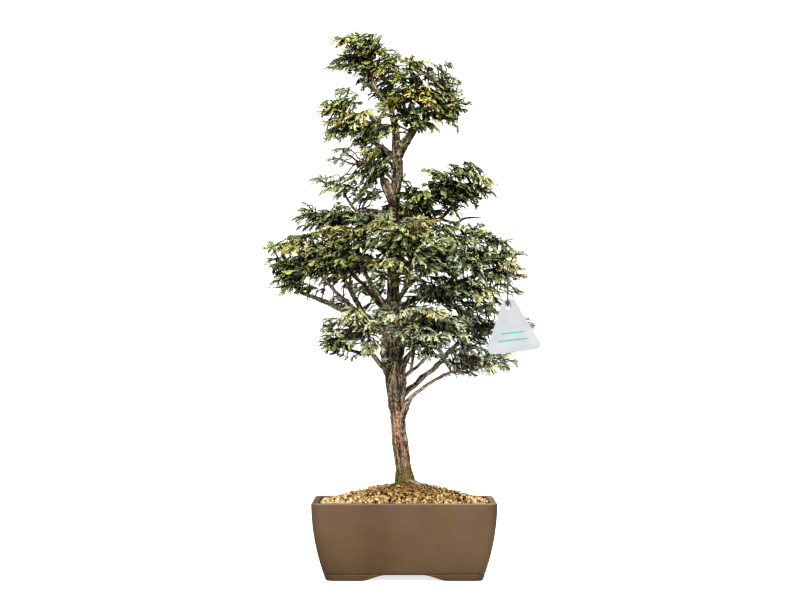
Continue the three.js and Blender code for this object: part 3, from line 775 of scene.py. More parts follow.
def grit_finish():
    material, tree = finish_of("grit", 0.9, Specular_IOR_Level=0.25)
    place = object_place(tree)
    pits = patches(tree, place, 1500, 0.3, 0.75, 4)
    stain = patches(tree, place, 300, 0.4, 0.7, 4)
    shade = maths(tree, "MULTIPLY_ADD", stain, 0.16, attribute(tree, "shade"))
    shade = maths(tree, "SUBTRACT", shade, 0.06)
    colour = ramp(tree, shade, (0.0, paint(40, 26, 17)), (0.25, paint(112, 78, 50)),
                  (0.5, paint(180, 142, 86)), (0.75, paint(218, 188, 130)),
                  (1.0, paint(242, 228, 192)))
    coat_with(tree, Base_Color=colour, Height=pits, Distance=0.0004)
    return material


soil_rng = np.random.default_rng(SOIL_SEED)
grains, grain_shade = loose_grains(soil_rng)
packed, scraps = packed_soil(), dry_scraps(soil_rng)
# The packed body, which shows in the gaps between the grains, gets the darkest shade: painted shade in
# those gaps.
soil_shade = np.concatenate([
    np.full(len(packed[0]), 0.05),
    grain_shade,
    np.repeat(soil_rng.uniform(0.25, 0.85, SCRAPS), len(scraps[0]) // SCRAPS),
])
soil_shape = joined([packed, grains, scraps])
bits = np.repeat(np.arange(1 + len(grains[0]) // 12 + SCRAPS),
                 [len(packed[0]), *[12] * ((len(grains[0]) + len(scraps[0])) // 12)])
add_piece("soil_grit", soil_shape, grit_finish(), "grit", ["soil"], smooth=False,
          flat=bits_laid_out(*soil_shape, bits), shade=soil_shade)

# ---------------------------------------------------------------------------------------------
# Trunk: hinoki bark, which splits into long fibrous strips, red-brown where it is fresh and grey
# where it has weathered. It grew in one piece with its leader, an old cut stub and one root that
# runs over the soil.

TRUNK_ROUTES = [
    [
        (7.7, 0, 58, 8), (7.7, 0, 70, 10), (7.7, 0, 78, 8.2), (6, 0, 92, 5.8),
        (4.2, 0, 107, 6.1), (2.2, 0, 123, 5.8), (1.2, 0, 138, 6.2), (0.3, 0, 150, 7),
        (0.2, 0, 160, 8), (-0.7, 0, 170, 8), (-2, 0, 182, 6.2), (-2.4, 0, 192, 5.2),
        (-2.8, 1, 237, 4.7), (-2.2, 2, 280, 4.2), (-1.9, 2, 321, 4), (1.3, 1, 342, 3.5),
        (0.2, 0, 363, 3.4), (-1.1, 0, 384, 2.3), (-3.6, 0, 395, 2), (-1.9, 0, 403, 1.9),
        (-3.6, 0, 413, 1.8), (-9, 0, 421, 1.5), (-19, 0, 429, 1.2), (-24, -2, 438, 1),
    ],
    [(-2.6, 0, 314, 3), (-5.6, -2, 323, 4), (-8.4, -3, 330, 4.3), (-10.4, -3, 335, 3.2),
     (-11.4, -3, 337.4, 1.1)],
    [(-3, -3, 164, 4.4), (-8, -3, 178, 3.8), (-10, -3, 194, 3), (-8, -2, 214, 2.6),
     (-5, 0, 234, 2)],
    [(-6.5, -6, 161, 2), (-5.5, -8.5, 166, 3), (-3, -9, 174, 2.6), (0, -9.5, 184, 2.3),
     (2.2, -10, 196, 2.1), (1.5, -12, 212, 1.8), (-1, -15, 226, 1.4)],
    [(2, -3, 166, 2.6), (6, -6, 178, 2.6), (9, -9, 185, 2.2), (15, -13, 192, 1.6),
     (21, -18, 200, 1.2)],
    [(8, -2, 79, 3.6), (13.5, -8, 80, 2.3), (20, -13, 78, 1.8), (26, -19, 74.5, 1.3),
     (30, -25, 71, 0.8)],
    [(-2, -2, 386, 2), (-5, -3, 397, 2.2), (-11, -3, 404, 2.2), (-17, -3, 412, 2),
     (-21, -3, 424, 1.4), (-22, -3, 436, 1)],
    [(-14, -3, 409, 1.6), (-20, -4, 414, 2), (-26, -4, 417, 1.8), (-29, -4, 418.5, 1.1),
     (-32, -4, 421.5, 0.4)],
    [(-24, -4, 416, 1), (-27, -5, 414, 0.8), (-28, -5, 411.5, 0.4)],
]
TRUNK_SIDES = 84
FLAKES = 120
FLAKE_SPAN = (22, 275)  # mm up the trunk
WEATHERED_FROM, GREY_FROM = 145, 130  # heights at which the bark starts to turn
TRUNK_SEED = 5


def fibre_field(rng, around, along, strips, run):
    """Smooth relief from 0 to 1 round a stem: so many strips side by side, each about a run long.
    around goes from 0 to 1, and along is in millimetres."""
    grid = rng.random((int(along.max() / run) + 2, strips))
    row, column = along / run, around % 1 * strips
    low, left = np.floor(row).astype(int), np.floor(column).astype(int)
    t, s = row - low, column - left
    t, s = t * t * (3 - 2 * t), s * s * (3 - 2 * s)
    left, right = left % strips, (left + 1) % strips
    lower = grid[low, left] * (1 - s) + grid[low, right] * s
    upper = grid[low + 1, left] * (1 - s) + grid[low + 1, right] * s
    return lower * (1 - t) + upper * t


def bark_stem(rng, route, sides, step, depth, strips, flare=0.0, kinks=0.28):
    """A stem with kinks, knobs and fibrous relief. Returns its rings, its relief and a place for
    the grain, whose third number runs along the stem."""
    coarse = smooth_line(route, 6)
    coarse[1:-1, :3] += rng.normal(0, kinks, (len(coarse) - 2, 3))
    line = smooth_line(coarse, step)
    along = lengths_along(line)[:, None] + np.zeros(sides)
    around = np.arange(sides) / sides + np.zeros((len(line), 1))
    twisted = around + along * 0.0012 + 0.02 * np.sin(along / 17)
    wide = fibre_field(rng, twisted, along, strips, 26)
    fine = fibre_field(rng, twisted, along, strips * 2 + 1, 13)
    swell = fibre_field(rng, around, along, 3, 19)
    ridges = 1 - np.abs(2 * wide - 1) ** 0.7
    relief = 0.6 * ridges + 0.4 * fine
    radius = np.maximum(line[:, 3:4], 0.3)
    collar = 1 + flare * np.exp(-along / (1.5 * radius[0]))
    for knob in 8 + (along.max() - 8) * rng.random(int(along.max() / 8)):
        collar = collar + rng.uniform(0.2, 1) * kinks * np.exp(-(((along - knob) / 1.2) ** 2))
    radii = radius * collar * (1 + 0.16 * (swell - 0.5)) + depth * (relief - 0.45)
    rings = rings_round(line, radii, sides)
    angle = around * 2 * math.pi
    place = np.stack([np.cos(angle) * radius, np.sin(angle) * radius, along], -1) * MM
    return rings, relief.ravel(), place.reshape(-1, 3)


def bark_flakes(rng, route, count):
    """Thin strips of bark that have come loose at one end and stand off the trunk."""
    line = smooth_line(route, 1)
    flakes = []
    for _ in range(count):
        first = int(rng.uniform(*FLAKE_SPAN))
        stretch = line[first : first + int(rng.uniform(5, 17))]
        turn = rng.uniform(0, 2 * math.pi)
        t = np.linspace(0, 1, len(stretch))
        lift = 0.25 + rng.uniform(0.2, 1.5) * t**3 * (stretch[0, 3] / 7)
        out = np.array([math.cos(turn), math.sin(turn), 0])
        aside = np.array([-math.sin(turn), math.cos(turn), 0]) * rng.uniform(0.3, 0.9)
        spine = stretch[:, :3] + out * (stretch[:, 3:4] + lift[:, None])
        taper = np.sin(np.clip(t * 0.94 + 0.05, 0, 1) * math.pi)[:, None] ** 0.5
        edge = aside * taper
        rings = np.stack([spine - edge, spine + edge, spine + out * 0.3], 1)
        if rng.random() < 0.5:
            rings = rings[::-1, ::-1]
        place = rings.reshape(-1, 3) * MM
        flakes.append((rings, np.full(len(place), 0.95), place))
    return flakes


def bark_finish():
    material, tree = finish_of("bark", 0.85, Specular_IOR_Level=0.3)
    place = attribute(tree, "grain_place", "Vector")
    stretched = node(tree, "Mapping", {0: place, 3: (1, 1, 0.13)}).outputs[0]
    streaks = patches(tree, stretched, 420, 0.35, 0.68, 5)
    threads = patches(tree, stretched, 1500, 0.3, 0.72, 4)
    flaky = node(tree, "Mapping", {0: place, 3: (1, 1, 0.45)}).outputs[0]
    grit = patches(tree, flaky, 1000, 0.4, 0.6, 3)
    red = patches(tree, stretched, 200, 0.38, 0.58, 3)
    pale = patches(tree, stretched, 300, 0.58, 0.7, 3)
    relief = attribute(tree, "relief")
    weather = attribute(tree, "weather")
    # Bark is painted darker where its relief is low, in the furrows between its strips: painted shade.
    level = maths(tree, "MULTIPLY_ADD", relief, 0.85, -0.18)
    level = maths(tree, "MULTIPLY_ADD", streaks, 0.45, level)
    level = maths(tree, "MULTIPLY_ADD", threads, 0.3, level)
    level = maths(tree, "MULTIPLY_ADD", grit, 0.6, level)
    level = maths(tree, "MULTIPLY_ADD", weather, -0.08, level)
    level = maths(tree, "MULTIPLY", level, 0.6)
    grey = ramp(tree, level, (0.18, paint(22, 19, 14)), (0.42, paint(86, 78, 64)),
                (0.65, paint(146, 132, 114)), (0.95, paint(204, 192, 172)))
    warm = ramp(tree, level, (0.14, paint(36, 22, 16)), (0.4, paint(110, 80, 64)),
                (0.65, paint(150, 115, 96)), (0.95, paint(196, 168, 144)))
    fresh = maths(tree, "MULTIPLY_ADD", attribute(tree, "grey"), -0.9, 1, clamp=True)
    colour = mixed(tree, maths(tree, "MULTIPLY", red, fresh), grey, warm)
    colour = mixed(tree, maths(tree, "MULTIPLY", pale, 0.35), colour, paint(190, 168, 140))
    green = patches(tree, object_place(tree), 240, 0.38, 0.6, 4)
    damp = maths(tree, "MULTIPLY", attribute(tree, "damp"), green)
    colour = mixed(tree, damp, colour, paint(104, 112, 36))
    algae = maths(tree, "MULTIPLY", maths(tree, "MULTIPLY", weather, green), 0.22)
    colour = mixed(tree, algae, colour, paint(88, 88, 58))
    height = maths(tree, "MULTIPLY_ADD", threads, 0.5, streaks)
    coat_with(tree, Base_Color=colour, Height=height, Distance=0.0006)
    return material


BARK = bark_finish()


def add_wood(name, stems, replaces):
    """One piece of wood from (rings, relief, grain place) stems. Bark is darker the higher it is,
    grey above and on the limbs, and damp at the soil."""
    points, faces = joined([skin(rings) for rings, _, _ in stems])
    flat = sheets_laid_out([rolled_out(rings) for rings, _, _ in stems])
    above = points[:, 2] - mound_height(points[:, 0], points[:, 1])
    side = 0.65 + 0.35 * np.tanh((points[:, 0] - TRUNK_X) / 4)
    route = np.array(TRUNK_ROUTES[0])
    out = np.hypot(points[:, 0] - np.interp(points[:, 2], route[:, 2], route[:, 0]), points[:, 1])
    out = np.maximum(out - 9, 0)
    damp = np.exp(-np.maximum(above - 1, 0) / 7 - out / 3) * side
    height = points[:, 2]
    weather = (height - WEATHERED_FROM - 1.5 * out) / 45
    weather = np.clip(weather, -0.9 * np.minimum(out / 5, 1), 1)
    grey = np.clip((height - GREY_FROM) / 25 + out / 10, 0, 1)
    return add_piece(name, (points, faces), BARK, "bark", replaces, flat=flat, damp=damp,
                     weather=weather, grey=grey,
                     relief=np.concatenate([relief for _, relief, _ in stems]),
                     grain_place=np.vstack([place for _, _, place in stems]))


trunk_rng = np.random.default_rng(TRUNK_SEED)
trunk_stems = [
    bark_stem(trunk_rng, TRUNK_ROUTES[0], TRUNK_SIDES, 1.5, 2, 20, 0, 0.1),
    bark_stem(trunk_rng, TRUNK_ROUTES[1], 32, 1, 0.9, 9, 0, 0.15),
    *[bark_stem(trunk_rng, route, 20, 1.2, 0.7, 6) for route in TRUNK_ROUTES[2:6]],
    *[bark_stem(trunk_rng, route, 10, 1, 0.2, 4) for route in TRUNK_ROUTES[6:]],
    *bark_flakes(trunk_rng, TRUNK_ROUTES[0], FLAKES),
]

# ---------------------------------------------------------------------------------------------
# Moss: low cushions of fine upright shoots on the soil against the foot of the trunk.

MOSS_CUSHIONS = {
    "moss_right": (TRUNK_X + 7.5, -4, 77.5, 6, 7, 3.5),
    "moss_left": (TRUNK_X - 7.5, -4, 77, 4, 6, 3),
}
MOSS_SHOOTS = 1700
MOSS_FOOT, MOSS_CLIMB = 76, 22  # height where it meets the bark, and how far up it goes
MOSS_SEED = 3


def moss_cushion(rng, x, y, z, rx, ry, rz):
    """A low ragged dome of shoots, and shoots that climb the bark on its side."""
    turn = rng.uniform(0, 2 * math.pi, MOSS_SHOOTS)
    ragged = 1 + 0.2 * np.sin(3 * turn + x) + 0.12 * np.sin(7 * turn)
    out = np.sqrt(rng.random(MOSS_SHOOTS)) * ragged
    foot = np.column_stack([x + rx * out * np.cos(turn), y + ry * out * np.sin(turn)])
    dome = np.sqrt(np.clip(1 - (out / 1.3) ** 2, 0, 1))
    lumps = 0.5 + 0.5 * np.sin(foot[:, 0] * 1.9 + 2) * np.sin(foot[:, 1] * 1.6)
    base = np.maximum(mound_height(*foot.T), z + rz * (0.8 * dome * (0.5 + 0.5 * lumps) - 0.35))
    lean = np.column_stack([np.cos(turn), np.sin(turn)]) * out[:, None]
    route = np.array(TRUNK_ROUTES[0][:6])
    side = math.atan2(-0.7, np.sign(x - TRUNK_X))
    climbs = rng.random(MOSS_SHOOTS) < 0.45
    count = climbs.sum()
    up = MOSS_FOOT + MOSS_CLIMB * (rx / 7) * rng.random(count) ** 1.7
    round_turn = side + rng.normal(0, 0.75, count)
    away = np.column_stack([np.cos(round_turn), np.sin(round_turn)])
    radius = np.interp(up, route[:, 2], route[:, 3]) + 0.3
    middle = np.column_stack([np.interp(up, route[:, 2], route[:, 0]), np.zeros(count)])
    foot[climbs], base[climbs], lean[climbs] = middle + away * radius[:, None], up, away * 1.1
    lean = lean + rng.normal(0, 0.35, lean.shape)
    way = unit(np.column_stack([lean, np.full(MOSS_SHOOTS, 1.1)]))
    height = rng.uniform(0.7, 2, MOSS_SHOOTS)[:, None]
    spot = np.column_stack([foot, base - 0.5])
    angle = rng.uniform(0, 6.28, MOSS_SHOOTS)
    corners = []
    for k in range(3):
        a = angle + k * 2.094
        corners.append(spot + np.column_stack([np.cos(a), np.sin(a), np.zeros(len(a))]) * 0.4)
    points = np.stack([*corners, spot + way * height], 1).reshape(-1, 3)
    pattern = np.array([(0, 1, 3), (1, 2, 3), (2, 0, 3), (2, 1, 0)])
    faces = (pattern + 4 * np.arange(MOSS_SHOOTS)[:, None, None]).reshape(-1, 3).tolist()
    share = np.tile([0, 0, 0, 1.0], MOSS_SHOOTS)
    return (points, faces), share


def moss_finish():
    material, tree = finish_of("moss", 0.9, Sheen_Weight=0.4)
    clumps = patches(tree, object_place(tree), 320, 0.35, 0.65, 3)
    old = ramp(tree, attribute(tree, "share"), (0, paint(66, 76, 18)), (1, paint(152, 150, 50)))
    young = ramp(tree, attribute(tree, "share"), (0, paint(84, 104, 22)), (1, paint(190, 198, 74)))
    coat_with(tree, Base_Color=mixed(tree, clumps, old, young))
    return material


moss_rng = np.random.default_rng(MOSS_SEED)
moss_material = moss_finish()
for name, cushion in MOSS_CUSHIONS.items():
    moss_shape, moss_share = moss_cushion(moss_rng, *cushion)
    shoots = np.repeat(np.arange(MOSS_SHOOTS), 4)
    add_piece(f"{name}_shoots", moss_shape, moss_material, "moss", [name], smooth=False,
              flat=bits_laid_out(*moss_shape, shoots), share=moss_share)

# ---------------------------------------------------------------------------------------------
# Tiers: each limb leaves the trunk with a collar, has bark like the trunk's and forks into twigs.
# Hinoki leaves are blunt scales pressed flat along forked branchlets, which make small open fans.
# They are dark green inside, where they are also painted darker as painted shade, yellow to
# ochre where new growth takes the light, paler underneath.

LIMBS = {
    "lowest_right": [
        [(4, -2, 134, 2.6), (7, -3, 142, 3.2), (12, -5, 150.5, 2), (26, -9, 161.5, 1.4),
         (38, -12, 169, 1.2), (49, -14, 174, 1), (62, -15, 177, 0.8)],
    ],
    "low_right": [
        [(4, 2, 151, 2.5), (10.8, 3, 158, 2.2), (15.9, 5, 162, 2), (21.6, 7, 167.5, 2.1),
         (27.8, 9, 172, 1.9), (34.3, 11, 178, 2.1), (40, 13, 184, 1.8), (45.6, 15, 191, 2),
         (54, 18, 198, 1.6), (63, 21, 201, 1.4), (78, 24, 207, 1.1)],
    ],
    "low_front_right": [
        [(1, -3, 164, 1.4), (12.5, -10, 174, 1.3), (23.5, -20, 184, 1.2), (30, -28, 196, 1)],
        [(12.5, -10, 174, 1.2), (14, -18, 184, 1.1), (15, -26, 193, 0.9)],
    ],
    "low_left": [
        [(-2, -2, 166, 2), (-16, -9, 183, 1.9), (-24.4, -14, 193.5, 1.7), (-30, -19, 202, 1.3),
         (-36, -23, 209, 1)],
        [(-24.4, -14, 193.5, 1.4), (-23, -21, 201, 1.2), (-23, -29, 208, 1)],
        [(-20, -11.5, 188, 1.4), (-34.5, -17, 190, 1.3), (-47, -21, 195, 1)],
    ],
    "left": [
        [(-2.5, 1, 200, 2.8), (-18, 3, 213, 2.6), (-34, 5, 224.5, 2.4), (-45, 6, 225.5, 2.3),
         (-54, 7, 229.5, 2), (-64, 8, 233.6, 1.8), (-75, 8, 237.6, 1.5), (-88, 8, 245.5, 1)],
        [(-34, 5, 224.5, 1.9), (-42.6, -1, 232.5, 1.7), (-49.4, -6, 238.4, 1.5),
         (-55, -11, 245, 1.3), (-63, -16, 254, 1)],
        [(-27, 4, 220, 2.3), (-32, 0, 230, 2.1), (-38, -4, 241, 1.9), (-43, -8, 250, 1.7),
         (-49, -12, 259, 1.2)],
        [(-36, -3, 239, 1.2), (-39, -8, 251, 1.1), (-36, -12, 263, 0.8)],
    ],
    "left_upper": [
        [(-2.6, -1, 214, 2.6), (-10.5, -4, 230, 2.4), (-19.4, -9, 244, 2.1), (-25, -12, 254, 1.7),
         (-31, -15, 265, 1.1)],
        [(-10.5, -4, 230, 1.5), (-17, -4, 238, 1.2), (-29, -6, 247, 1), (-36, -8, 258, 0.7)],
    ],
    "front": [
        [(-2.6, -1, 216, 1.9), (0, -9, 225, 1.7), (4, -20, 237, 1.5), (9, -32, 250, 1.3),
         (12, -42, 264, 1)],
    ],
    "right": [
        [(-2.4, 1, 224, 2.5), (20, 4, 237, 2.2), (42, 5, 246, 2), (58, 4, 251, 1.7),
         (74, 2, 258, 1.2), (88, 0, 262, 0.9)],
        [(42, 5, 246, 1.5), (52, -4, 256, 1.3), (61, -12, 266, 1)],
    ],
    "left_third": [
        [(-2.3, 2, 268, 1.8), (-24, 5, 284, 1.5), (-45, 6, 294, 1.3), (-66, 5, 302, 0.9)],
    ],
    "upper_right": [
        [(-2, 1, 282, 2.1), (18, 2, 298, 1.8), (37, 3, 303, 1.6), (47, 2, 312, 1.3),
         (58, 1, 322, 1.1), (70, -1, 328, 0.8)],
        [(37, 3, 303, 1.1), (50.7, 1, 299.5, 1), (58.3, 0, 303.5, 0.8), (71.5, -2, 303.5, 0.6)],
    ],
    "upper_left": [
        [(-1.9, 1, 306, 1.6), (-20.6, -4, 310, 1.4), (-34, -6, 310.6, 1.2),
         (-39.6, -7, 316.5, 1.1), (-44, -8, 324, 1), (-48, -9, 331, 0.9), (-62, -10, 333, 0.7)],
    ],
    "mid_left": [
        [(0.2, 0, 334, 1.5), (-9, -6, 341, 1.3), (-19, -10, 347, 1.1), (-28, -12, 350, 0.8)],
    ],
    "top_left": [
        [(0.4, 0, 352, 1.9), (-9.5, -4, 362, 1.7), (-18, -6, 366, 1.5), (-25, -8, 375, 1.3),
         (-38, -10, 387, 1.1), (-52, -11, 394, 0.8)],
    ],
    "crown_right": [
        [(2, 0, 356, 2.8), (9, -1, 369, 3.3), (14.5, -2, 378, 3.3), (20, -3, 385, 2.5),
         (28, -3, 390.5, 1.8), (36, -3, 394, 1.4), (46, -2, 400, 1)],
    ],
    "back_low": [[(-1, 1, 176, 2.4), (5, 16, 192, 2.1), (4, 34, 206, 1.7), (2, 50, 214, 1.1)]],
    "back_left": [
        [(-2.6, 2, 208, 2.2), (-14, 20, 229, 1.9), (-28, 36, 247, 1.6), (-42, 47, 260, 1)],
    ],
    "back_right": [
        [(-2.6, 2, 226, 2.1), (10, 20, 246, 1.8), (26, 34, 259, 1.5), (40, 43, 267, 1)],
    ],
    "back_upper": [[(-2.1, 3, 276, 1.9), (-4, 18, 294, 1.6), (-6, 34, 306, 1)]],
    "back_top": [[(1, 2, 338, 1.6), (-4, 13, 350, 1.4), (-11, 24, 359, 0.9)]],
}

